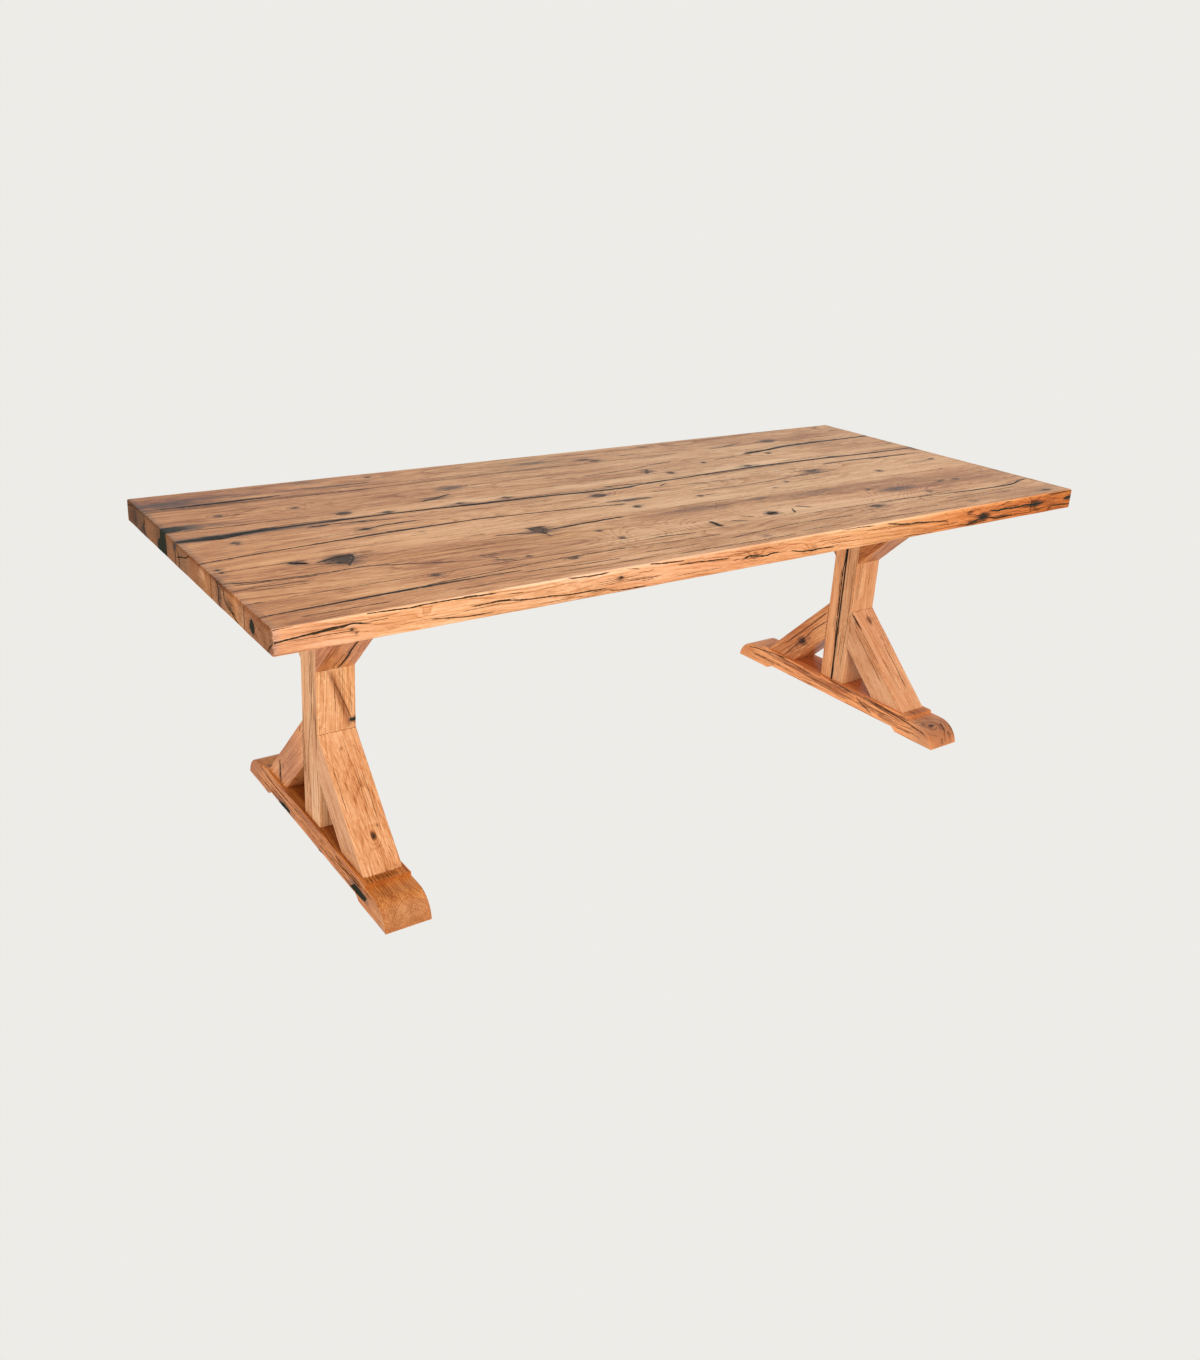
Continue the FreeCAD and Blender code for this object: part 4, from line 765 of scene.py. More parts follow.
pools["rightEnd"] = [[(112, 742), (116, 756), (124, 762), (130, 750), (126, 740)]]
stainsAndShade["rightEnd"] = [
    (120, 750, 30, 20, 0.5), (-260, 745, 24, 22, 0.5), (380, 760, 20, 14, 0.5), (-80, 770, 60, 8, 0.4),
]
knots["rightEnd"] = [(-260, 745, 12, 0.6)]
tints["rightEnd"] = [(0, 752, 900, 60, -0.32)]

shakes["leftPostFront"] = [(0.5, [(-6, 442), (6, 412), (17, 390), (26, 367), (34, 344)])]
pools["leftPostFront"] = [[(31, 334), (40, 338.5), (48, 339), (48, 331), (38, 330)]]
stainsAndShade["leftPostFront"] = [
    (-12, 450, 4, 8, 0.45), (-42, 330, 4, 4, 0.4), (-40, 400, 5, 12, 0.22), (-44, 352, 4, 6, 0.35),
    (36, 340, 10, 5, 0.35),
]
tints["leftPostFront"] = [(32, 420, 16, 70, 0.16), (4, 372, 18, 40, 0.05)]
washes["leftPostFront"] = [(32, 430, 22, 60, (1.02, 1.02, 0.96))]
# A branch once grew beside this face, so a brown band runs down it at a slant, dark along its right edge.
veins["leftPostFront"] = [
    (9.0, 0.66, [(-12, 462), (-3, 430), (8, 398), (15, 376), (26, 348), (30, 324)]),
    (5.5, 0.85, [(-6, 448), (4, 420), (13, 394), (22, 370)]), (6.0, 0.5, [(-20, 470), (-14, 456), (-8, 440)]),
    (2.6, 1.0, [(-9, 456), (-2, 432), (8, 408), (16, 391), (25, 367), (35, 341)]),
    (1.9, 0.9, [(-8, 446), (-3, 424), (4, 400), (9, 380)]), (1.6, 0.8, [(2, 412), (12, 384), (20, 360), (26, 338)]),
    (1.5, 0.55, [(6, 466), (24, 428), (42, 392)]), (1.4, 0.5, [(18, 470), (34, 436), (46, 410)]),
    (1.5, 0.55, [(-2, 458), (16, 420), (40, 372)]), (1.4, 0.6, [(-36, 424), (-34, 410), (-32, 396)]),
    (1.2, 0.5, [(-28, 396), (-26, 380), (-27, 366)]),
]

shakes["leftFlank"] = [
    (1.4, [(-212, 76), (-208, 100), (-212, 132)]), (0.4, [(-6, 120), (-14, 240), (8, 340), (18, 430), (14, 560)]),
    (0.45, [(40, 100), (44, 157), (36, 230)]), (0.8, [(-60, 290), (-70, 272)]), (0.8, [(-284, 74), (-262, 92)]),
]
stainsAndShade["leftFlank"] = [
    (-210, 84, 9, 26, 0.75), (-208, 112, 7, 24, 0.6), (-188, 122, 8, 10, 0.45), (-10, 200, 6, 120, 0.12),
    (16, 430, 8, 140, 0.1), (40, 150, 6, 60, 0.15), (-60, 286, 8, 14, 0.35),
]
tints["leftFlank"] = [(-30, 560, 20, 120, 0.12), (-170, 190, 90, 90, -0.08)]
washes["leftFlank"] = [(-175, 180, 100, 110, (0.72, 0.66, 0.6))]

shakes["leftFootFlank"] = [
    (0.96, [(50, 12.5), (62, 14), (76, 14.5)]), (0.6, [(-300, 48), (-180, 46), (-60, 50)]),
    (0.6, [(60, 44), (160, 40), (300, 48)]), (0.72, [(240, 50), (310, 52), (352, 44)]),
    (0.6, [(-60, 36), (40, 32), (140, 30)]), (0.54, [(-260, 30), (-180, 34), (-90, 30)]),
]
pools["leftFootFlank"] = [
    [(240, 18), (252, 28), (266, 37), (290, 38), (327, 34), (318, 23), (300, 19), (276, 17)],
    [(-206, 14), (-190, 23), (-160, 27), (-130, 26), (-128, 18), (-160, 14)],
]
stainsAndShade["leftFootFlank"] = [
    (284, 28, 66, 15, 0.7), (-168, 19, 66, 12, 0.6), (62, 13, 24, 6, 0.6), (-289, 4, 16, 6, 0.6),
    (-60, 30, 60, 8, 0.25), (330, 30, 40, 16, 0.3), (0, 56, 300, 5, 0.2),
]
tints["leftFootFlank"] = [(0, 30, 500, 40, -0.14)]
washes["leftFootFlank"] = [(-405, 30, 70, 60, (0.66, 0.58, 0.5))]

# Painted shade: the stains at ±306 on the ledges before the braces, and the middle stain, tint and wash.
stainsAndShade["leftFootTop"] = [(0, -306, 57, 12, 0.45), (0, 306, 57, 12, 0.45), (0, 0, 60, 300, 0.22)]
tints["leftFootTop"] = [(0, 0, 60, 300, -0.3), (0, -370, 80, 60, -0.12)]
washes["leftFootTop"] = [(0, 370, 90, 60, (0.44, 0.46, 0.54)), (0, 0, 80, 310, (0.6, 0.52, 0.46))]

# The oil left the nose of this foot pink at its end.
washes["leftFootNose"] = [(0, -392, 90, 60, (0.84, 0.98, 1.4)), (0, -416, 90, 20, (1.06, 1.4, 2.4))]
veins["leftFootNose"] = [
    (4.0, 0.4, [(-40, -342), (-22, -366), (-4, -388), (8, -404)]),
    (3.0, 0.35, [(24, -340), (36, -362), (44, -386)]), (2.6, 0.4, [(-52, -370), (-36, -388), (-20, -402)]),
    (2.4, 0.35, [(-8, -344), (12, -368), (28, -392)]), (3.0, 0.4, [(34, -398), (44, -404), (50, -400)]),
]

shakes["leftBraceFront"] = [(0.5, [(26, 120), (28, 180), (27, 240)])]
pools["leftBraceFront"] = [[(2, 84), (5, 90), (9, 87), (6, 82)]]
stainsAndShade["leftBraceFront"] = [
    (5, 87, 7, 9, 0.85), (20, 108, 4, 5, 0.5), (-5, 306, 4, 5, 0.45), (14, 62, 4, 4, 0.4), (22, 216, 4, 70, 0.25),
    (-20, 200, 4, 90, 0.16), (30, 130, 5, 50, 0.2), (-8, 260, 5, 60, 0.16),
]
knots["leftBraceFront"] = [(5, 87, 8, 0.9), (-5, 306, 4, 0.5), (19, 110, 3, 0.4)]

shakes["leftUpperFront"] = [
    (2.0, [(4, 1), (8, 30), (10, 70), (8, 110), (12, 160)]), (0.8, [(-13, 5), (-8, 40), (-4, 90)]),
]
stainsAndShade["leftUpperFront"] = [(8, 60, 6, 70, 0.5), (-12, 40, 5, 50, 0.3), (-47, 80, 5, 90, 0.35)]

stainsAndShade["rightPostFront"] = [(-38, 372, 8, 40, 0.3), (24, 366, 8, 20, 0.2), (-32, 395, 4, 10, 0.3)]
tints["rightPostFront"] = [(10, 430, 40, 160, -0.12)]

shakes["rightFlank"] = [
    (1.2, [(-217, 112), (-186, 142), (-155, 174), (-104, 224), (-52, 279)]),
    (1.1, [(-215, 72), (-176, 115), (-137, 158), (-100, 202), (-50, 248)]),
    (0.62, [(200, 132), (160, 172), (120, 212), (70, 262)]), (1.5, [(50, 308), (74, 288), (98, 269)]),
    (0.62, [(98, 268), (140, 226), (180, 186)]),
    (2.1, [(-5, 659), (-4, 560), (-3.5, 498), (-4, 477), (-6.5, 455), (-8, 434), (-8, 374), (-7.5, 342),
           (-7, 277)]),
    (1.9, [(-7, 280), (-5.4, 233), (-3.5, 200), (0.6, 146), (2.7, 107), (4.6, 66)]),
    (0.99, [(2, 420), (0, 380), (-1, 330), (-2, 290), (0, 250)]), (0.87, [(-13, 450), (-15, 400), (-13, 350)]),
    (0.56, [(30, 120), (36, 300), (33, 480)]),
]
pools["rightFlank"] = [[(-148, 140), (-140, 149), (-132, 152), (-138, 143)]]
stainsAndShade["rightFlank"] = [
    (-142, 146, 26, 18, 0.7), (-165, 120, 18, 16, 0.4), (-118, 166, 14, 12, 0.4), (-190, 100, 24, 24, 0.25),
    (-120, 220, 60, 40, 0.16), (74, 288, 14, 18, 0.4), (-7, 360, 6, 330, 0.15), (34, 300, 6, 200, 0.06),
]
knots["rightFlank"] = [(-142, 145, 11, 0.7)]
washes["rightFlank"] = [(-175, 160, 100, 110, (0.86, 0.74, 0.65))]

shakes["rightFootFlank"] = [
    (1.2, [(-380, 44), (-314, 54), (-244, 62), (-200, 65)]), (0.84, [(-240, 62), (-160, 58), (-88, 52)]),
    (1.4, [(0, 66), (15, 65), (58, 63), (108, 58)]), (1.3, [(150, 63), (220, 60), (286, 53), (343, 47), (394, 39)]),
    (1.3, [(118, 52), (145, 38), (166, 29), (188, 21)]), (0.72, [(100, 62), (200, 56), (300, 44)]),
    (0.6, [(-120, 30), (-20, 34), (90, 30)]), (0.84, [(200, 38), (280, 32), (350, 36)]),
    (0.6, [(-340, 30), (-260, 34), (-180, 30)]), (0.78, [(130, 44), (190, 40), (260, 42)]),
    (0.6, [(220, 22), (290, 18), (360, 26)]),
]
stainsAndShade["rightFootFlank"] = [
    (62, 58, 66, 7, 0.45), (240, 56, 100, 7, 0.5), (-290, 54, 90, 7, 0.4), (155, 36, 40, 10, 0.45),
    (385, 42, 14, 5, 0.4), (250, 36, 90, 12, 0.3), (-60, 40, 200, 8, 0.15),
]
tints["rightFootFlank"] = [(0, 30, 500, 40, 0.16)]
washes["rightFootFlank"] = [(-400, 30, 60, 60, (0.8, 0.73, 0.68))]

# Painted shade: the stains at ±306 and the wash at -308 on the ledges, and the middle tint and wash.
stainsAndShade["rightFootTop"] = [
    (0, -306, 57, 12, 0.3), (-20, -370, 30, 20, 0.25), (0, 306, 57, 12, 0.3), (-30, 340, 20, 16, 0.4),
]
tints["rightFootTop"] = [(0, 0, 60, 300, -0.4)]
washes["rightFootTop"] = [
    (0, 370, 90, 60, (0.55, 0.62, 0.72)), (0, 0, 80, 320, (0.86, 0.8, 0.76)), (0, -308, 90, 16, (0.8, 0.76, 0.62)),
]

stainsAndShade["rightFootNose"] = [
    (-14, -380, 13, 6, 0.95), (-36, -366, 14, 7, 0.5), (22, -394, 7, 14, 0.7), (34, -412, 8, 10, 0.65),
    (50, -402, 5, 16, 0.6), (-2, -418, 10, 5, 0.5), (10, -350, 26, 4, 0.3),
]
# The nose of this foot is cut through a nest of knots.
washes["rightFootNose"] = [(0, -385, 90, 70, (0.41, 0.45, 0.6)), (0, -354, 60, 18, (1.22, 1.28, 1.2))]
veins["rightFootNose"] = [
    (2.6, 0.9, [(-52, -346), (-34, -352), (-14, -360), (6, -370), (14, -384), (8, -398)]),
    (2.2, 0.8, [(-46, -372), (-30, -388), (-14, -394), (2, -390)]),
    (2.2, 0.8, [(-4, -340), (20, -350), (34, -366), (40, -384), (36, -402)]),
    (2.4, 0.9, [(24, -384), (20, -402), (12, -418)]), (2.0, 0.8, [(44, -370), (52, -392), (54, -414)]),
    (2.0, 0.7, [(-50, -398), (-38, -404), (-20, -408)]), (2.0, 0.6, [(-40, -342), (0, -338), (40, -344)]),
]

shakes["rightBraceFront"] = [(1.2, [(-46, 346), (-45, 310), (-44, 280)]), (0.8, [(18, 230), (20, 150), (18, 76)])]
stainsAndShade["rightBraceFront"] = [
    (8, 310, 7, 24, 0.55), (-46, 318, 3, 30, 0.5), (18, 90, 4, 40, 0.4), (21, 240, 5, 10, 0.35),
    (-16, 62, 5, 10, 0.3), (-4, 150, 4, 60, 0.2),
]
knots["rightBraceFront"] = [(8, 312, 9, 0.6), (21, 248, 4, 0.4)]


def scatterShakes(name, region, count, lengths, halfWidth, seed, slope=0.0, upright=False):
    # Fine drying checks that follow the grain, spread over a face.
    rng = np.random.default_rng(seed)
    (lowU, highU), (lowV, highV) = region
    for _ in range(count):
        length = rng.uniform(*lengths)
        start = rng.uniform(lowU, max(lowU, highU - (0 if upright else length)))
        level = rng.uniform(lowV, max(lowV, highV - (length if upright else 0)))
        lean = rng.normal(slope, 0.012) * length
        steps = np.linspace(0.0, 1.0, 4)
        wander = np.cumsum(rng.normal(0.0, 0.8, 4))
        if upright:
            points = [(start + lean * s + w, level + length * s) for s, w in zip(steps, wander)]
        else:
            points = [(start + length * s, level + lean * s + w) for s, w in zip(steps, wander)]
        shakes[name].append((rng.uniform(0.5, 1.0) * halfWidth, points))


def scatterVeins(name, region, count, lengths, halfWidth, strength, seed, slope=0.0):
    # Brown weathered lines that follow the grain, a few millimetres wide.
    rng = np.random.default_rng(seed)
    (lowU, highU), (lowV, highV) = region
    for _ in range(count):
        length, level = rng.uniform(*lengths), rng.uniform(lowV, highV)
        start = rng.uniform(lowU, highU - length)
        lean = rng.normal(slope, 0.02) * length
        wander = np.cumsum(rng.normal(0.0, 1.0, 5))
        line = [(start + length * s, level + lean * s + w) for s, w in zip(np.linspace(0.0, 1.0, 5), wander)]
        veins[name].append((rng.uniform(0.6, 1.3) * halfWidth, rng.uniform(0.6, 1.0) * strength, line))


scatterVeins("rightFootFlank", ((-400, 400), (8, 62)), 34, (60, 260), 1.5, 1.0, 71, slope=-0.03)
scatterVeins("rightFootFlank", ((-400, 400), (44, 64)), 20, (80, 260), 1.7, 1.0, 73, slope=-0.01)
scatterVeins("leftFootFlank", ((-400, 400), (8, 62)), 26, (60, 240), 2.0, 0.75, 72)
scatterShakes("top", ((-1180, 1190), (-470, 470)), 120, (40, 260), 0.75, 11)
scatterShakes("front", ((-1180, 1190), (731, 770)), 40, (30, 160), 0.6, 12)
scatterShakes("back", ((-1190, 1190), (731, 774)), 40, (40, 260), 0.95, 13)
scatterShakes("rightEnd", ((-470, 470), (732, 770)), 26, (12, 46), 1.0, 14, slope=0.4)
scatterShakes("leftEnd", ((-470, 470), (732, 770)), 16, (10, 36), 0.7, 15, slope=-0.3)
for side, seed in (("left", 20), ("right", 40)):
    for offset, (face, region, count) in enumerate((
            ("PostFront", ((-44, 44), (330, 650)), 6), ("PostBack", ((-44, 44), (330, 650)), 14),
            ("Flank", ((-44, 44), (80, 650)), 12), ("FarFlank", ((-44, 44), (80, 650)), 14))):
        scatterShakes(side + face, region, count, (30, 200), 0.55, seed + offset, upright=True)
    for offset, face in enumerate(("FootFlank", "FootFarFlank")):
        scatterShakes(side + face, ((-380, 380), (16, 54)), 16, (30, 150), 0.6, seed + 8 + offset)
    scatterShakes(side + "BraceFront", ((-44, 44), (10, 340)), 5, (30, 120), 0.45, seed + 11, upright=True)
    scatterShakes(side + "BraceBack", ((-44, 44), (10, 340)), 12, (30, 160), 0.7, seed + 12, upright=True)
print("marks laid out")

# How marks colour the wood round them. The lengths are in millimetres, and each fall says how fast a mark fades.
soaking = {
    "depths": 1.6,            # a mark counts for this many soaking depths below its face
    "stainFall": 0.8, "stainEdge": 2.2,
    "leastShake": 0.85, "shakeMargin": 20.0, "shakeStain": (0.24, 0.09, 4.0), "shakeReach": (2.0, 1.2),
    "poolStain": 0.6, "poolFall": 0.7, "poolMargin": 4.0,
    "zoneFall": 0.9,
    "jointStain": 0.55, "jointFall": 1.6,      # painted shade: a thin dark line where two pieces meet
}
# A knot pushes the rings aside and is drawn out along the grain.
knotShape = {"stretch": 1.7, "swell": 1.5, "swellReach": 1.9, "rim": (0.55, 1.15), "length": 70.0}


def toBoard(points, face):
    return (points - face["origin"]) @ face["axes"].T


def fromBoard(face, u, v):
    return face["origin"] + u * face["axes"][0] + v * face["axes"][1]


def nearLine(points, line):
    # Distance in the face from each place to a line of places.
    best = np.full(len(points), 1e9)
    for start, end in zip(line[:-1], line[1:]):
        start, run = np.array(start[:2], float), np.subtract(end[:2], start[:2])
        share = np.clip((points - start) @ run / (run @ run), 0.0, 1.0)
        best = np.minimum(best, np.linalg.norm(points - start - share[:, None] * run, axis=1))
    return best


def zoneShare(flat, u, v, halfU, halfV, slope=0.0):
    # How much of a tint or a wash reaches each place: full at the middle of its zone, none well outside it.
    away = (flat[:, 1] - v - slope * (flat[:, 0] - u)) / halfV
    reach = np.hypot((flat[:, 0] - u) / halfU, away)
    return np.exp(-soaking["zoneFall"] * reach ** 3)


def markStainAndShade(name, flat):
    # Stain and painted shade of each place on a face, from the stains, shakes and pools there.
    found = np.zeros(len(flat))
    for u, v, halfU, halfV, strength in stainsAndShade[name]:
        reach = np.hypot((flat[:, 0] - u) / halfU, (flat[:, 1] - v) / halfV)
        found = np.maximum(found, strength * np.exp(-soaking["stainFall"] * reach ** soaking["stainEdge"]))
    least, gain, most = soaking["shakeStain"]
    near, wider = soaking["shakeReach"]
    for half, line in shakes[name]:
        if half < soaking["leastShake"]:
            continue
        ends = np.array([place[:2] for place in line], float)
        low, high = ends.min(axis=0) - soaking["shakeMargin"], ends.max(axis=0) + soaking["shakeMargin"]
        inside = np.all((flat > low) & (flat < high), axis=1)
        if inside.any():
            away = nearLine(flat[inside], line)
            strength = least + gain * min(half, most)
            found[inside] = np.maximum(found[inside], strength * np.exp(-away / (near + wider * half)))
    for outline in pools[name]:
        size = np.ptp(outline, axis=0) / 2 + soaking["poolMargin"]
        reach = np.hypot(*((flat - np.mean(outline, axis=0)) / size).T)
        found = np.maximum(found, soaking["poolStain"] * np.exp(-soaking["poolFall"] * reach ** 2))
    return found


def markFields(points, faces):
    # Stain and painted shade, tone, brown and wash that the marks of these faces leave on the wood around them.
    stain, tone, brown = np.zeros(len(points)), np.zeros(len(points)), np.zeros(len(points))
    wash = np.ones((len(points), 3))
    for name in faces:
        place, soak = toBoard(points, boards[name]), boards[name]["depth"]
        near = np.abs(place[:, 2]) < soaking["depths"] * soak
        if not near.any():
            continue
        flat, depth = place[near, :2], np.exp(-np.abs(place[near, 2]) / soak)
        stain[near] = np.maximum(stain[near], markStainAndShade(name, flat) * depth)
        for u, v, halfU, halfV, amount, *slope in tints[name]:
            tone[near] += amount * depth * zoneShare(flat, u, v, halfU, halfV, *slope)
        for u, v, halfU, halfV, kept, *slope in washes[name]:
            reached = depth * zoneShare(flat, u, v, halfU, halfV, *slope)
            wash[near] *= 1.0 + reached[:, None] * (np.array(kept) - 1.0)
        for half, strength, line in veins[name]:
            away = nearLine(flat, line)
            brown[near] = np.maximum(brown[near], strength * depth * np.exp(-(away / half) ** 2))
    return stain, tone, brown, wash


def timberFields(points, frameOf, timber, faces):
    # What the oak material reads at each place. The heart of the tree lies off the piece, and leans and wanders.
    local = (points - frameOf["origin"]) @ frameOf["axes"].T      # along the grain, across, through
    along, across, through = local.T
    seed, wander = timber["seed"], timber.get("wander", 6.0)
    heart, lean = timber["heart"], timber["lean"]
    offAcross = across - (heart[0] + wander * wobble(along, 1500.0, seed) + lean[0] * along / 1000)
    offThrough = through - (heart[1] + 0.5 * wander * wobble(along, 1100.0, seed + 1) + lean[1] * along / 1000)
    ring = np.hypot(offAcross, offThrough)
    knot = np.zeros(len(points))
    for name in faces:
        for u, v, radius, darkness in knots[name]:
            spot = (fromBoard(boards[name], u, v) - frameOf["origin"]) @ frameOf["axes"].T
            run = spot[1:] - heart
            run = run / max(np.linalg.norm(run), 1e-6)
            aside = (across - spot[1]) * -run[1] + (through - spot[2]) * run[0]
            outward = (across - spot[1]) * run[0] + (through - spot[2]) * run[1]
            reach = np.hypot((along - spot[0]) / knotShape["stretch"], aside)
            reach = np.where(outward < -knotShape["length"], 1e3, reach)
            ring = ring + knotShape["swell"] * radius * np.exp(-(reach / (knotShape["swellReach"] * radius)) ** 2)
            inner, outer = (share * radius for share in knotShape["rim"])
            knot = np.maximum(knot, darkness * (1.0 - smooth(reach, inner, outer)))
    stain, tone, brown, wash = markFields(points, faces)
    # The seed shifts each piece to wood of its own.
    coords = np.stack([along, offAcross, offThrough], axis=1) + np.array([seed * 731.0, 0.0, 0.0])
    tone = tone + timber.get("tone", 0.0) + 0.1 * wobble(along + 0.5 * across, 900.0, seed + 2)
    return {"timber": coords, "ring": ring + seed * 3.7, "stain": stain, "knot": np.maximum(knot, brown),
            "tone": tone, "wash": wash * np.array(timber.get("wash", (1.0, 1.0, 1.0)))}


# Each timber: where the heart of its tree lies across and through it, how that leans per metre, the seed of its
# grain, how much paler it is, how far the heart wanders, and the red, green and blue that it keeps.
planks = {
    "top_plank_back_edge": {
        "span": (342, 488), "heart": (30, -70), "lean": (10, 26), "seed": 3, "tone": -0.12, "wander": 9},
    "top_plank_back": {
        "span": (162, 342), "heart": (-20, -95), "lean": (-12, 30), "seed": 5, "tone": 0.02, "wander": 8},
    "top_plank_narrow": {"span": (95, 162), "heart": (90, -60), "lean": (6, 12), "seed": 7, "tone": -0.02},
    "top_plank_middle": {
        "span": (-145, 95), "heart": (24, -84), "lean": (14, -34), "seed": 9, "tone": 0.1, "wander": 10},
    "top_plank_front": {
        "span": (-342, -145), "heart": (-46, -62), "lean": (-18, 28), "seed": 13, "tone": 0.04, "wander": 9},
    "top_plank_front_edge": {
        "span": (-488, -342), "heart": (60, -66), "lean": (8, -24), "seed": 17, "tone": -0.02, "wander": 8},
}
slab = {
    "low": (-1199.85, -487.85, 725.0), "high": (1199.85, 487.85, 779.85), "middle": 752.5,
    "step": (7.0, 3.6, 5.0), "close": (0.7, 1.7, 3.0, 4.6),      # lines of the grid, and those close to an arris
    # The pale line along the top arrises is partly wear, partly a painted highlight.
    "arris": 4.0, "wear": 0.22, "rubbed": 0.7, "rubbedWidth": 3.6,
}
slabLow, slabHigh = np.array(slab["low"]), np.array(slab["high"])


def slabArris(points):
    # The arris is worn, so its radius wanders along it.
    wander = wobble(points[:, 0] + points[:, 1], 240.0, 90)
    return (slab["arris"] * (1.0 + slab["wear"] * wander))[:, None]


def makePlank(name, timber):
    front, back = timber["span"]
    stepX, stepY, stepZ = slab["step"]
    points, faces = boxGrid(
        stations(slabLow[0], slabHigh[0], stepX, slab["close"]),
        stations(max(front, slabLow[1]), min(back, slabHigh[1]), stepY, slab["close"]),
        stations(slabLow[2], slabHigh[2], stepZ, slab["close"]))
    points = rounded(points, slabLow, slabHigh, slabArris(points))
    centre = {"origin": np.array([0.0, (front + back) / 2, slab["middle"]]), "axes": np.eye(3)}
    fields = timberFields(points, centre, timber, slabFaces)
    # The long top arrises are rubbed pale, and a painted highlight runs along them.
    away = np.hypot(slabHigh[1] - np.abs(points[:, 1]), slabHigh[2] - points[:, 2])
    fields["tone"] = fields["tone"] + slab["rubbed"] * np.exp(-(away / slab["rubbedWidth"]) ** 2)
    made = meshObject(name + "_oak", points, faces, fields, materials["oak_top"])
    addEndGrain(made.data, centre["axes"][0])
    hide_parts(name)
    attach(made, "root")


for name, timber in planks.items():
    makePlank(name, timber)
print("planks made")

# Sizes of the dressed pieces, a hair inside the solids, in millimetres; each step is the spacing of its grid.
post = {
    "half": (48.4, 47.4), "span": (66.0, 659.0), "middle": 360.0, "centre": 24.0,
    "arris": 2.4, "wear": 0.3, "wearLength": 160.0,
    "step": (2.8, 3.0, 4.5), "close": (0.8, 1.8, 3.2), "endClose": (0.8, 2.0),
}
# The corner of a brace lies on the post, and its seat is the height of the foot or the bearer.
brace = {
    "thickness": 86.0, "lower": (313.0, 66.0), "upper": (473.0, 659.0),
    "arris": 2.2, "wear": 0.3, "wearLength": 130.0,
    "step": (3.2, 3.6, 4.8), "close": (0.8, 1.8, 3.2), "endClose": (0.004, 0.01),
}
# The nose of a foot is an arc: how far out and how high its centre lies, and its radius.
foot = {
    "half": (56.9, 421.0), "height": 66.0, "platform": 320.0, "step": 9.0, "riser": (-0.6, 0.5),
    "nose": (360.0, -4.0, 61.0), "pad": 283.0, "ramp": 17.0, "relief": 12.0, "middle": 36.0,
    "arris": 3.0, "wear": 0.25, "wearLength": 150.0,
    "stepX": 2.5, "close": (0.9, 2.0, 3.6), "stepUp": 0.036, "upClose": (0.014, 0.032, 0.06),
    "lines": {"nose": 31, "flat": 13, "rim": 5, "inner": 44}, "rimLines": (0.6, 2.0, 4.5),
}
bearerLook = {"middle": 692.0, "step": (9.0, 9.0, 6.0)}
staves = {
    "left_post_front_stave": {
        "heart": (70, -10), "lean": (30, 20), "seed": 21, "tone": 0.06, "wander": 7, "step": (1.7, 3.0, 3.0),
        "wash": (0.92, 0.92, 0.95)},
    "left_post_back_stave": {
        "heart": (-60, 60), "lean": (10, -20), "seed": 23, "tone": -0.05, "wander": 7, "wash": (0.94, 0.93, 0.9)},
    "right_post_front_stave": {
        "heart": (-30, 80), "lean": (20, 30), "seed": 25, "tone": 0.22, "wander": 7, "wash": (0.89, 0.785, 0.74)},
    "right_post_back_stave": {
        "heart": (60, -50), "lean": (-20, 20), "seed": 27, "tone": 0.22, "wander": 7, "wash": (1.03, 0.84, 0.74)},
}
braces = {
    "left_lower_brace_front": {
        "heart": (14, -70), "lean": (20, 70), "seed": 31, "tone": -0.02, "wash": (0.94, 0.94, 1.0)},
    "left_lower_brace_back": {
        "heart": (-30, 90), "lean": (10, 40), "seed": 33, "tone": -0.1, "wash": (1.0, 0.84, 0.7)},
    "left_upper_brace_front": {
        "heart": (-70, 30), "lean": (10, 40), "seed": 35, "tone": -0.2, "wash": (0.95, 0.79, 0.66)},
    "left_upper_brace_back": {"heart": (40, -60), "lean": (10, 40), "seed": 37, "tone": -0.05},
    "right_lower_brace_front": {
        "heart": (-80, -20), "lean": (30, 20), "seed": 41, "tone": 0.16, "wash": (0.91, 0.825, 0.84)},
    "right_lower_brace_back": {
        "heart": (60, 60), "lean": (10, 40), "seed": 43, "tone": -0.08, "wash": (1.04, 0.88, 0.76)},
    "right_upper_brace_front": {
        "heart": (50, 60), "lean": (10, 40), "seed": 45, "tone": -0.16, "wash": (0.89, 0.665, 0.38)},
    "right_upper_brace_back": {"heart": (-40, -60), "lean": (10, 40), "seed": 47, "tone": -0.05},
}
feet = {
    "left_foot": {"heart": (20, -40), "lean": (10, 12), "seed": 51, "tone": -0.12, "wash": (1.02, 0.79, 0.43)},
    "right_foot": {
        "heart": (-50, -30), "lean": (-8, 14), "seed": 53, "tone": 0.26, "wander": 8, "wash": (1.15, 0.82, 0.62)},
}
bearers = {
    "left_bearer": {"heart": (10, 60), "lean": (10, 12), "seed": 57, "tone": -0.05},
    "right_bearer": {"heart": (-20, 60), "lean": (10, 12), "seed": 59, "tone": -0.05},
}


def sideOf(name):
    return name.split("_")[0]


def timberFrame(origin, *axes):
    # Directions along the grain, across and through a piece.
    return {"origin": np.array(origin, float), "axes": np.array(axes, float)}


def wornArris(look, along, seed):
    # The arris is worn, so its radius wanders along the piece.
    return look["arris"] * (1.0 + look["wear"] * wobble(along, look["wearLength"], seed))


def finishTimber(name, points, faces, frameOf, timber, marks, seamEnds=None):
    side = sideOf(name)
    fields = timberFields(points, frameOf, timber, [side + mark for mark in marks])
    # Painted shade: a thin dark line along the ends, where this piece meets another.
    if seamEnds is not None:
        joint = soaking["jointStain"] * np.exp(-seamEnds / soaking["jointFall"])
        fields["stain"] = np.maximum(fields["stain"], joint)
    made = meshObject(name + "_oak", points, faces, fields, materials["oak_frame"])
    addEndGrain(made.data, frameOf["axes"][0])
    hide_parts(name)
    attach(made, "root")


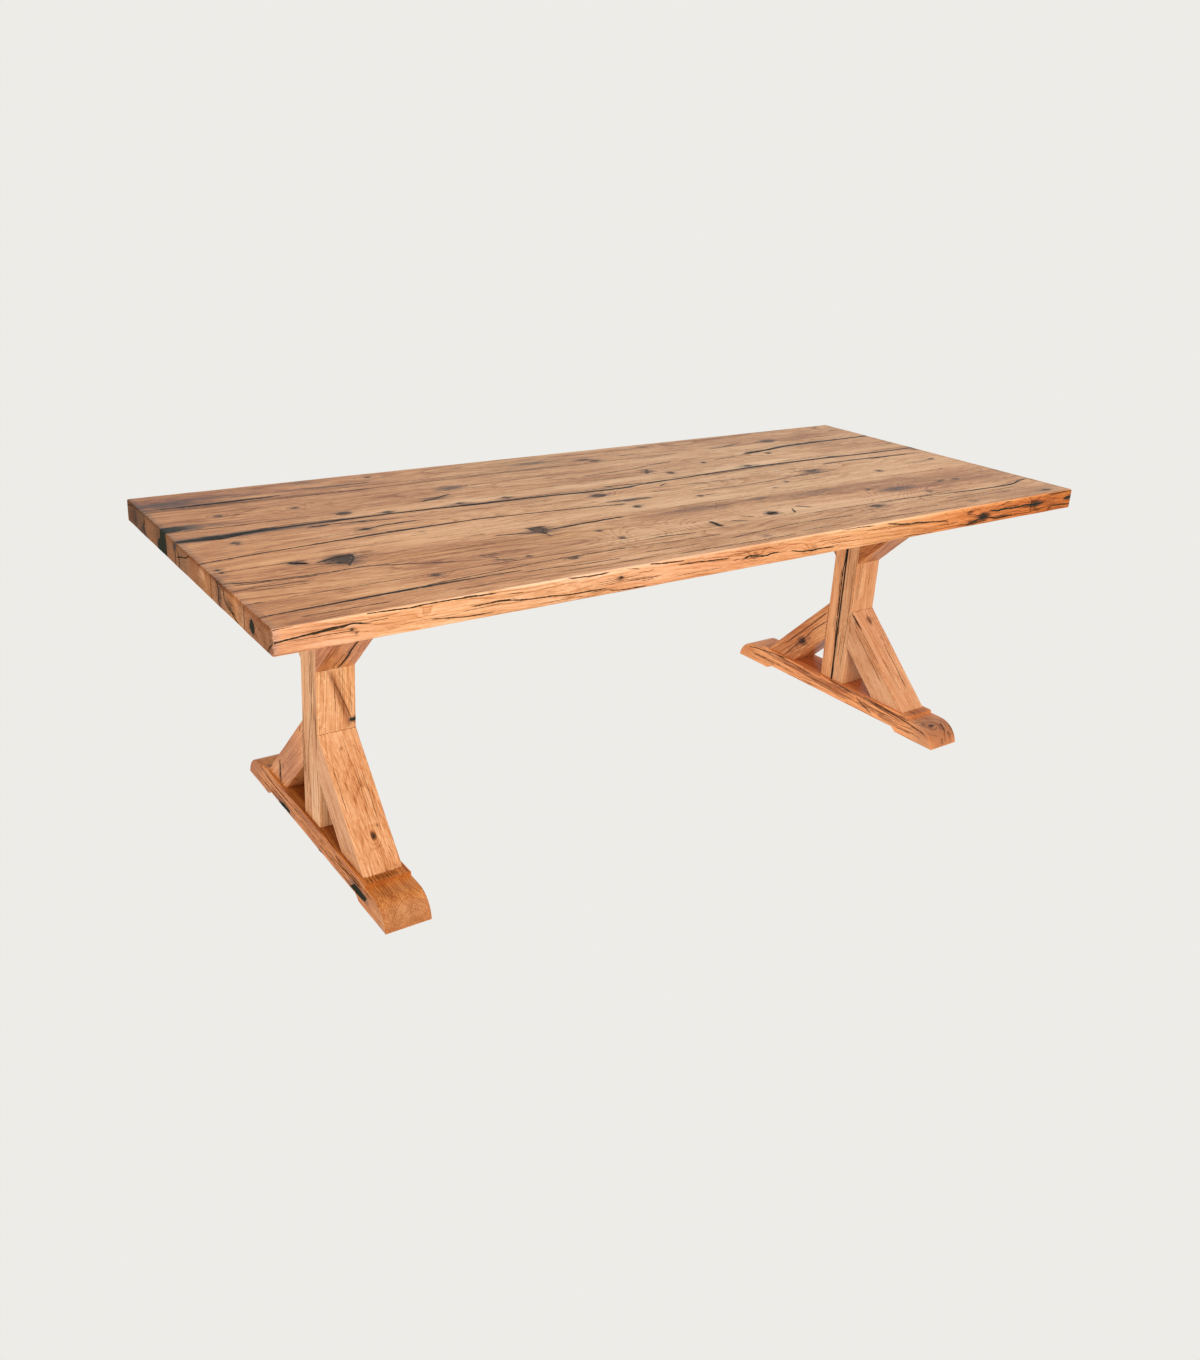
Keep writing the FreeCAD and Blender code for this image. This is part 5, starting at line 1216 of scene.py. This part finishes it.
def makeStave(name, timber):
    middle, bottom, top = trestleX[sideOf(name)], *post["span"]
    half = np.array(post["half"])
    front = "front" in name
    nearY, farY = (-half[1], 0.0) if front else (0.0, half[1])
    stepX, stepY, stepZ = timber.get("step", post["step"])
    points, faces = boxGrid(
        stations(-half[0], half[0], stepX, post["close"]), stations(nearY, farY, stepY, post["close"]),
        stations(bottom, top, stepZ, post["endClose"]))
    wear = wornArris(post, points[:, 2], timber["seed"])
    points[:, :2] = rounded(points[:, :2], -half, half, wear[:, None])
    ends = np.minimum(points[:, 2] - bottom, top - points[:, 2])
    points[:, 0] += middle
    centre = -post["centre"] if front else post["centre"]
    frameOf = timberFrame((middle, centre, post["middle"]), (0, 0, 1), (1, 0, 0), (0, 1, 0))
    finishTimber(name, points, faces, frameOf, timber, ("PostFront", "PostBack", "Flank", "FarFlank"), ends)


def makeBrace(name, timber):
    lower, front = "lower" in name, "front" in name
    middle = trestleX[sideOf(name)]
    corner, seat = brace["lower" if lower else "upper"]
    halfX, postFace = post["half"]
    thickness, diagonal = brace["thickness"], math.sqrt(2.0)
    reach, drop = abs(corner - seat), thickness * diagonal
    out, up = -1.0 if front else 1.0, 1.0 if seat > corner else -1.0
    outer = np.array([(postFace, corner), (postFace + reach, seat)])
    inner = np.array([(postFace, corner + up * drop), (postFace + reach - drop, seat)])
    stepX, stepV, stepT = brace["step"]
    grid, faces = boxGrid(
        stations(-halfX, halfX, stepX, brace["close"]), stations(0.0, thickness, stepV, brace["close"]),
        stations(0.0, 1.0, 1.0 / round(reach * diagonal / stepT), brace["endClose"]))
    section, t = grid[:, :2], grid[:, 2:]
    wear = wornArris(brace, t[:, 0] * reach, timber["seed"])
    section = rounded(section, np.array([-halfX, 0.0]), np.array([halfX, thickness]), wear[:, None])
    # The two ends are cut at 45 degrees, so each place lies between the outer and the inner edge.
    share = section[:, 1:] / thickness
    onOuter = outer[0] + t * (outer[1] - outer[0])
    onInner = inner[0] + t * (inner[1] - inner[0])
    profile = onOuter * (1.0 - share) + onInner * share
    points = np.stack([section[:, 0] + middle, profile[:, 0] * out, profile[:, 1]], axis=1)
    if out * up > 0:
        faces = faces[:, ::-1]
    ends = np.minimum(np.abs(profile[:, 0] - postFace), np.abs(profile[:, 1] - seat))
    along, through = np.array([0.0, out, up]) / diagonal, np.array([0.0, out, -up]) / diagonal
    start = np.array([middle, out * outer.mean(axis=0)[0], outer.mean(axis=0)[1]])
    frameOf = timberFrame(start - through * thickness / 2, along, (1.0, 0.0, 0.0), through)
    own = ("Brace" if lower else "Upper") + ("Front" if front else "Back")
    finishTimber(name, points, faces, frameOf, timber, ("Flank", "FarFlank", own), ends)


def footProfile(y):
    # Top and underside of the foot at each place along it.
    away = np.abs(y)
    centre, level, radius = foot["nose"]
    start, end = (foot["platform"] + lean for lean in foot["riser"])
    nose = level + np.sqrt(np.maximum(radius ** 2 - np.maximum(away - centre, 0.0) ** 2, 0.0))
    top = np.where(away > centre, nose, foot["height"] - foot["step"])
    top = np.where(away < end, foot["height"] - foot["step"] * smooth(away, start, end), top)
    under = foot["relief"] * np.clip((foot["pad"] - away) / foot["ramp"], 0.0, 1.0)
    return np.maximum(top, 0.0), under


def makeFoot(name, timber):
    middle = trestleX[sideOf(name)]
    halfX, halfY = foot["half"]
    centre, level, radius = foot["nose"]
    platform, pad, lines = foot["platform"], foot["pad"], foot["lines"]
    # Lines of the grid from the nose in, closest together where the profile turns.
    angles = np.linspace(math.asin(-level / radius), math.pi / 2, lines["nose"])
    half = np.concatenate([
        centre + radius * np.cos(angles),
        np.linspace(platform + 0.6, centre, lines["flat"])[:-1],
        [platform], platform - np.array(foot["rimLines"]),
        np.linspace(platform - 9, pad + 6, lines["rim"]), np.linspace(pad + 6, 0.0, lines["inner"]),
        [pad, pad - foot["ramp"]]])
    half = np.unique(np.round(half, 4))
    half[-1] = halfY
    grid, faces = boxGrid(stations(-halfX, halfX, foot["stepX"], foot["close"]),
                          np.concatenate([-half[::-1], half[1:]]),
                          stations(0.0, 1.0, foot["stepUp"], foot["upClose"]))
    x, y, share = grid.T
    top, under = footProfile(y)
    wear = np.minimum(wornArris(foot, y, timber["seed"]), 0.45 * (top - under) + 1e-3)
    low = np.stack([np.full(len(x), -halfX), under], axis=1)
    high = np.stack([np.full(len(x), halfX), top], axis=1)
    section = rounded(np.stack([x, under + share * (top - under)], axis=1), low, high, wear[:, None])
    points = np.stack([section[:, 0] + middle, y, section[:, 1]], axis=1)
    frameOf = timberFrame((middle, 0, foot["middle"]), (0, 1, 0), (1, 0, 0), (0, 0, 1))
    finishTimber(name, points, faces, frameOf, timber, ("FootFlank", "FootFarFlank", "FootTop", "FootNose"))


def makeBearer(name, timber):
    # The bearer keeps its screw recesses, so a copy of its own mesh is cut into a grid.
    work = bmesh.new()
    work.from_mesh(frame["nodes"][name].data)
    bmesh.ops.remove_doubles(work, verts=work.verts[:], dist=1e-6)
    bmesh.ops.dissolve_limit(work, angle_limit=math.radians(0.5), verts=work.verts[:], edges=work.edges[:])
    low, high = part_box(name)
    for axis, step in enumerate(bearerLook["step"]):
        for place in np.arange(low[axis] + step * mm, high[axis] - step * mm / 2, step * mm):
            origin, normal = Vector((0, 0, 0)), Vector((0, 0, 0))
            origin[axis], normal[axis] = place, 1.0
            bmesh.ops.bisect_plane(work, geom=work.verts[:] + work.edges[:] + work.faces[:], plane_co=origin,
                                   plane_no=normal, dist=1e-7)
    mesh = bpy.data.meshes.new(name + "_oak")
    work.to_mesh(mesh)
    work.free()
    points = np.array([v.co for v in mesh.vertices]) / mm
    frameOf = timberFrame((trestleX[sideOf(name)], 0, bearerLook["middle"]), (0, 1, 0), (1, 0, 0), (0, 0, 1))
    addFields(mesh, timberFields(points, frameOf, timber, ()))
    addEndGrain(mesh, frameOf["axes"][0])
    mesh.materials.clear()
    mesh.materials.append(materials["oak_frame"])
    made = addObject(name + "_oak", mesh)
    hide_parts(name)
    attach(made, "root")


for timbers, make in ((staves, makeStave), (braces, makeBrace), (feet, makeFoot), (bearers, makeBearer)):
    for name, timber in timbers.items():
        make(name, timber)
print("trestles made")

# Fills of shakes and pools: the sizes that their trees take, in millimetres, how much the width of a shake
# pinches and swells, and the share of wood slivers in a pool.
resinFill = {
    "shake": {"Step": 4.0, "Wander": 1.6, "Wander Length": 26.0, "Ragged Length": 9.0},
    "pool": {"Step": 2.0, "Ragged": 3.8, "Ragged Length": 9.0, "Depth": 2.5},
    "ragged": {"top": 0.85, "edge": 0.6, "left": 0.5, "right": 0.5}, "knotty": {"top": 0.9},
    # Half widths from which a shake stops being thin enough to show brown, how its width swings about an even
    # one and what it keeps at least, and its section, in half widths.
    "thin": (0.6, 2.6), "swing": 3.4, "even": 0.95, "least": 0.06,
    "section": {"Point 1": (-1.0, 0.0, 0.0), "Point 2": (1.0, 0.0, 0.0), "Point 3": (0.5, -0.7, 0.0),
                "Point 4": (-0.5, -0.7, 0.0)},
    # Height of the fills over the face, on the top and on the trestles, and how far each lies under the last.
    "shakeLevel": (-0.01, 0.1), "poolLevel": (-0.1, 0.03), "proud": 0.15, "apart": 0.008, "levels": 8,
}
# A free end of a shake: it narrows to its tip over this length, or over a share of its last stretch.
shakeTip = {"width": 0.12, "length": 16.0, "most": 0.4, "edge": 2.0}


def newTree(name, *numbers):
    # Geometry in and out, an input for each number, one for the seed and one for the material. It gives the tree,
    # addNode bound to it, and what it is given.
    tree = bpy.data.node_groups.new(name, "GeometryNodeTree")
    tree.interface.new_socket("Geometry", in_out="INPUT", socket_type="NodeSocketGeometry")
    for label in (*numbers, "Seed"):
        tree.interface.new_socket(label, in_out="INPUT", socket_type="NodeSocketFloat")
    tree.interface.new_socket("Material", in_out="INPUT", socket_type="NodeSocketMaterial")
    tree.interface.new_socket("Geometry", in_out="OUTPUT", socket_type="NodeSocketGeometry")
    add = partial(addNode, tree)
    return tree, add, add("NodeGroupInput").outputs


def endTree(add, given, shape):
    flat = add("GeometryNodeSetShadeSmooth", {"Geometry": shape, "Shade Smooth": False})
    real = add("GeometryNodeRealizeInstances", {"Geometry": flat})
    done = add("GeometryNodeSetMaterial", {"Geometry": real, "Material": given["Material"]})
    add("NodeGroupOutput", {0: done})


def seededNoise(add, length, seed, detail):
    place = add("GeometryNodeInputPosition")
    scale = add("ShaderNodeMath", {0: 1.0, 1: length}, operation="DIVIDE")
    return add("ShaderNodeTexNoise", {"Vector": place, "W": seed, "Scale": scale, "Detail": detail},
               noise_dimensions="4D")


def wanderOffset(add, size, length, seed):
    # A noise offset in the face, so a drawn line strays as a real crack does.
    noise = seededNoise(add, length, seed, 3.0)
    centred = add("ShaderNodeVectorMath", {0: noise.outputs["Color"], 1: (0.5, 0.5, 0.5)}, operation="SUBTRACT")
    spread = add("ShaderNodeVectorMath", {0: centred, 1: (2.0, 2.0, 0.0)}, operation="MULTIPLY")
    return add("ShaderNodeVectorMath", {0: spread, "Scale": size}, operation="SCALE")


def shakeTree():
    tree, add, given = newTree("resinShake", "Step", "Wander", "Wander Length", "Ragged", "Ragged Length")
    bent = add("GeometryNodeCurveSplineType", {"Curve": given["Geometry"]}, spline_type="CATMULL_ROM")
    cut = add("GeometryNodeResampleCurve", {"Curve": bent, "Length": given["Step"]}, mode="LENGTH")
    stray = wanderOffset(add, given["Wander"], given["Wander Length"], given["Seed"])
    moved = add("GeometryNodeSetPosition", {"Geometry": cut, "Offset": stray})
    radius = add("GeometryNodeInputRadius")
    narrow, wide = resinFill["thin"]
    thin = add("ShaderNodeMapRange", {
        "Value": radius, "From Min": narrow * mm, "From Max": wide * mm, "To Min": 1.0, "To Max": 0.0})
    marked = add("GeometryNodeStoreNamedAttribute", {"Geometry": moved, "Name": "thin", "Value": thin},
                 data_type="FLOAT", domain="POINT")
    # The width pinches and swells.
    noise = seededNoise(add, given["Ragged Length"], given["Seed"], 2.0)
    swing, even, least = (resinFill[part] for part in ("swing", "even", "least"))
    swell = add("ShaderNodeMath", {0: noise, 1: swing, 2: -swing / 2}, operation="MULTIPLY_ADD")
    swell = add("ShaderNodeMath", {0: swell, 1: given["Ragged"], 2: even}, operation="MULTIPLY_ADD")
    swell = add("ShaderNodeMath", {0: swell, 1: least}, operation="MAXIMUM")
    width = add("ShaderNodeMath", {0: radius, 1: swell}, operation="MULTIPLY")
    upright = add("GeometryNodeSetCurveNormal", {"Curve": marked}, mode="Z_UP")
    section = add("GeometryNodeCurvePrimitiveQuadrilateral", resinFill["section"], mode="POINTS")
    ribbon = add("GeometryNodeCurveToMesh", {
        "Curve": upright, "Profile Curve": section, "Scale": width, "Fill Caps": True})
    endTree(add, given, ribbon)
    return tree


def poolTree():
    tree, add, given = newTree("resinPool", "Step", "Ragged", "Ragged Length", "Depth", "Level", "Knotty")
    even = add("GeometryNodeResampleCurve", {"Curve": given["Geometry"], "Length": given["Step"]}, mode="LENGTH")
    stray = wanderOffset(add, given["Ragged"], given["Ragged Length"], given["Seed"])
    moved = add("GeometryNodeSetPosition", {"Geometry": even, "Offset": stray})
    sheet = add("GeometryNodeFillCurve", {"Curve": moved}, mode="NGONS")
    down = add("ShaderNodeMath", {0: given["Depth"], 1: -1.0}, operation="MULTIPLY")
    sunk = add("GeometryNodeExtrudeMesh", {"Mesh": sheet, "Offset Scale": down, "Individual": False}, mode="FACES")
    turnedOver = add("GeometryNodeFlipFaces", {"Mesh": sunk.outputs["Mesh"]})
    both = add("GeometryNodeJoinGeometry", {"Geometry": sheet})
    tree.links.new(turnedOver.outputs[0], both.inputs[0])
    closed = add("GeometryNodeMergeByDistance", {"Geometry": both, "Distance": 1e-6})
    # The fill is drawn at height zero, so it is put at its own level afterwards.
    raised = add("GeometryNodeSetPosition", {
        "Geometry": closed, "Offset": add("ShaderNodeCombineXYZ", {"Z": given["Level"]})})
    marked = add("GeometryNodeStoreNamedAttribute", {
        "Geometry": raised, "Name": "knotty", "Value": given["Knotty"]}, data_type="FLOAT", domain="POINT")
    endTree(add, given, marked)
    return tree


# The poured corner at the left end: heights, and how far behind the joint it starts and ends at each.
endFill = {
    "joint": 162.0, "heights": (725.0, 743.0, 752.0, 758.0, 780.0), "front": (0.0, 0.0, 0.0, 1.0, 5.0),
    "back": (68.0, 71.0, 60.0, 48.0, 46.0), "proud": 0.12, "lines": (26, 22), "step": 3.4,
    "flush": 0.02,      # share of its width that lies flat on the joint
    # How far it runs along the table, at least and beyond that, and where across it bulges and how widely.
    "least": 8.0, "reach": 48.0, "long": 60.0, "bulge": (0.55, 0.56), "narrowing": 3.0,
    # Waves of its rim, back and sides: how far, how long, and the seed.
    "rim": ((0.16, 0.5, 62), (0.08, 0.13, 63)), "backWave": (1.5, 30.0, 61), "sideWave": (1.2, 22.0, 64),
    "knotty": (0.5, 20.0, 60.0),      # share of wood slivers, and the reach from which they start and are full
}


def makeEndFill():
    countX, countY = endFill["lines"]
    grid, faces = boxGrid(np.linspace(0.0, 1.0, countX), np.linspace(0.0, 1.0, countY),
                          stations(slabLow[2], slabHigh[2], endFill["step"], slab["close"]))
    along, share, z = grid.T
    front = np.interp(z, endFill["heights"], endFill["front"])
    size, length, seed = endFill["backWave"]
    back = np.interp(z, endFill["heights"], endFill["back"]) + size * wobble(z, length, seed)
    # The pour runs furthest along the table behind its middle, and its rim is ragged.
    centre, half = endFill["bulge"]
    middle = np.sqrt(np.clip(1.0 - ((share - centre) / half) ** 2, 0.0, 1.0))
    ragged = 1.0
    for size, length, seed in endFill["rim"]:
        ragged = ragged + size * wobble(share, length, seed)
    reach = endFill["least"] + endFill["reach"] * middle * ragged
    size, length, seed = endFill["sideWave"]
    y = endFill["joint"] + front + share * (back - front)
    y = y - endFill["narrowing"] * along * (share - 0.5) + size * wobble(along * endFill["long"], length, seed)
    y = np.where(share < endFill["flush"], endFill["joint"] + front, y)
    low, high = slabLow - endFill["proud"], slabHigh + endFill["proud"]
    z = np.clip(z + endFill["proud"] * np.sign(z - slab["middle"]), low[2], high[2])
    points = np.stack([low[0] + along * reach, y, z], axis=1)
    points = rounded(points, low, high, slabArris(points))
    most, start, full = endFill["knotty"]
    knotty = most * smooth(along * reach, start, full)
    made = meshObject("end_fill_resin", points, faces, {"knotty": knotty}, sawnFinish)
    # Its upper face is sanded with the top, and the rest stays as sawn.
    made.data.materials.append(materials["black_resin"])
    for polygon in made.data.polygons:
        polygon.material_index = int(polygon.normal.z > 0.7)
    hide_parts("top_end_resin")
    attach(made, "root")


def tapered(face, half, line):
    # Places and half widths of a shake: a free end narrows to a point, one that meets an edge of the slab doesn't.
    low, high = slabLow + shakeTip["edge"], slabHigh - shakeTip["edge"]
    places = [(p[0], p[1], half * (p[2] if len(p) > 2 else 1.0)) for p in line]
    for end, beside in ((0, 1), (-1, -2)):
        u, v, width = places[end]
        spot = fromBoard(face, u, v)
        if np.sum((spot < low) | (spot > high)) > 1:
            continue
        run = np.subtract(places[beside][:2], (u, v))
        share = min(shakeTip["most"], shakeTip["length"] / max(np.linalg.norm(run), 1.0))
        shoulder = (u + share * run[0], v + share * run[1], width)
        places[end] = (u, v, width * shakeTip["width"])
        places.insert(1 if end == 0 else len(places) - 1, shoulder)
    return places


def drawCurves(name, lines, closed, level):
    # Each line lies a hair lower than the last, so that no two fills share a face.
    curve = bpy.data.curves.new(name, "CURVE")
    curve.dimensions = "3D"
    for count, line in enumerate(lines):
        spline = curve.splines.new("POLY")
        spline.points.add(len(line) - 1)
        spline.use_cyclic_u = closed
        height = (level - resinFill["apart"] * (count % resinFill["levels"])) * mm
        for point, (u, v, half) in zip(spline.points, line):
            point.co = (u * mm, v * mm, height, 1.0)
            point.radius = half * mm
    return addObject(name, curve)


def runTree(source, tree, values):
    # Runs a tree on an object and gives back a plain mesh; the source is then removed.
    modifier = source.modifiers.new(tree.name, "NODES")
    modifier.node_group = tree
    sockets = {item.name: item.identifier for item in tree.interface.items_tree
               if item.item_type == "SOCKET" and item.in_out == "INPUT"}
    for label, value in values.items():
        modifier[sockets[label]] = value
    bpy.context.view_layer.update()
    result = bpy.data.meshes.new_from_object(source.evaluated_get(bpy.context.evaluated_depsgraph_get()))
    source.modifiers.remove(modifier)
    bpy.data.objects.remove(source)
    return result


def onBoard(mesh, name):
    # Puts a mesh that was drawn flat on its face of the table, and bends it round the arrises of the slab.
    face = boards[name]
    points = np.empty(len(mesh.vertices) * 3)
    mesh.vertices.foreach_get("co", points)
    points = face["origin"] + points.reshape(-1, 3) / mm @ face["axes"]
    if name in slabFaces:
        low, high = slabLow - resinFill["proud"], slabHigh + resinFill["proud"]
        low[2] = slabLow[2]
        points = rounded(np.clip(points, low, high), low, high, slabArris(points))
    mesh.vertices.foreach_set("co", (points * mm).astype(np.float32).ravel())
    mesh.update()
    return mesh


def joinMeshes(name, meshes):
    parts = [addObject(name, mesh) for mesh in meshes]
    with bpy.context.temp_override(active_object=parts[0], selected_editable_objects=parts, object=parts[0]):
        bpy.ops.object.join()
    return parts[0]


def makeFills():
    shakeShape, poolShape = shakeTree(), poolTree()
    shakeSizes, poolSizes = (
        {label: size * mm for label, size in resinFill[kind].items()} for kind in ("shake", "pool"))
    groups = {"top": slabFaces[:1], "edge": slabFaces[1:]}
    for side in trestleX:
        groups[side] = [name for name in boards if name.startswith(side) and name not in slabFaces]
    seed = 1.0
    for group, names in groups.items():
        meshes = []
        finish = materials["black_resin"] if group in ("top", "right") else sawnFinish
        for name in names:
            seed += 1.0
            raised = 0 if name in slabFaces else 1
            if shakes[name]:
                lines = [tapered(boards[name], *shake) for shake in shakes[name]]
                source = drawCurves(name + "Shakes", lines, False, resinFill["shakeLevel"][raised])
                meshes.append(onBoard(runTree(source, shakeShape, dict(
                    shakeSizes, Ragged=resinFill["ragged"][group], Seed=seed, Material=finish)), name))
            if pools[name]:
                lines = [[(u, v, 1.0) for u, v in outline] for outline in pools[name]]
                source = drawCurves(name + "Pools", lines, True, 0.0)
                meshes.append(onBoard(runTree(source, poolShape, dict(
                    poolSizes, Level=resinFill["poolLevel"][raised] * mm, Knotty=resinFill["knotty"].get(name, 0.0),
                    Seed=seed, Material=finish)), name))
        made = joinMeshes(group + "_shake_fills", meshes)
        made.name = group + "_shake_fills"
        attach(made, "root")
        print(group, "fills:", len(made.data.polygons), "faces")


makeEndFill()
makeFills()
print("resin fills made")

# In the largest knot the slivers of wood thin out to the right: places along the table, and their share.
slivers = {"along": (-970.0, -895.0, -870.0), "share": (0.8, 0.1, 0.7)}
for subpart in frame["record"]["subparts"]:
    name, slot = subpart["node"], subpart["material_slot"]
    node = frame["nodes"][name]
    if not node.hide_render:
        # The resin of the left trestle was sawn, so it stays dull.
        dull = slot == "black_resin" and name.startswith("left")
        node.data.materials.clear()
        node.data.materials.append(sawnFinish if dull else materials[slot])
        if name == "top_knot_resin":
            along = np.array([vertex.co.x for vertex in node.data.vertices]) / mm
            addFields(node.data, {"knotty": np.interp(along, slivers["along"], slivers["share"])})
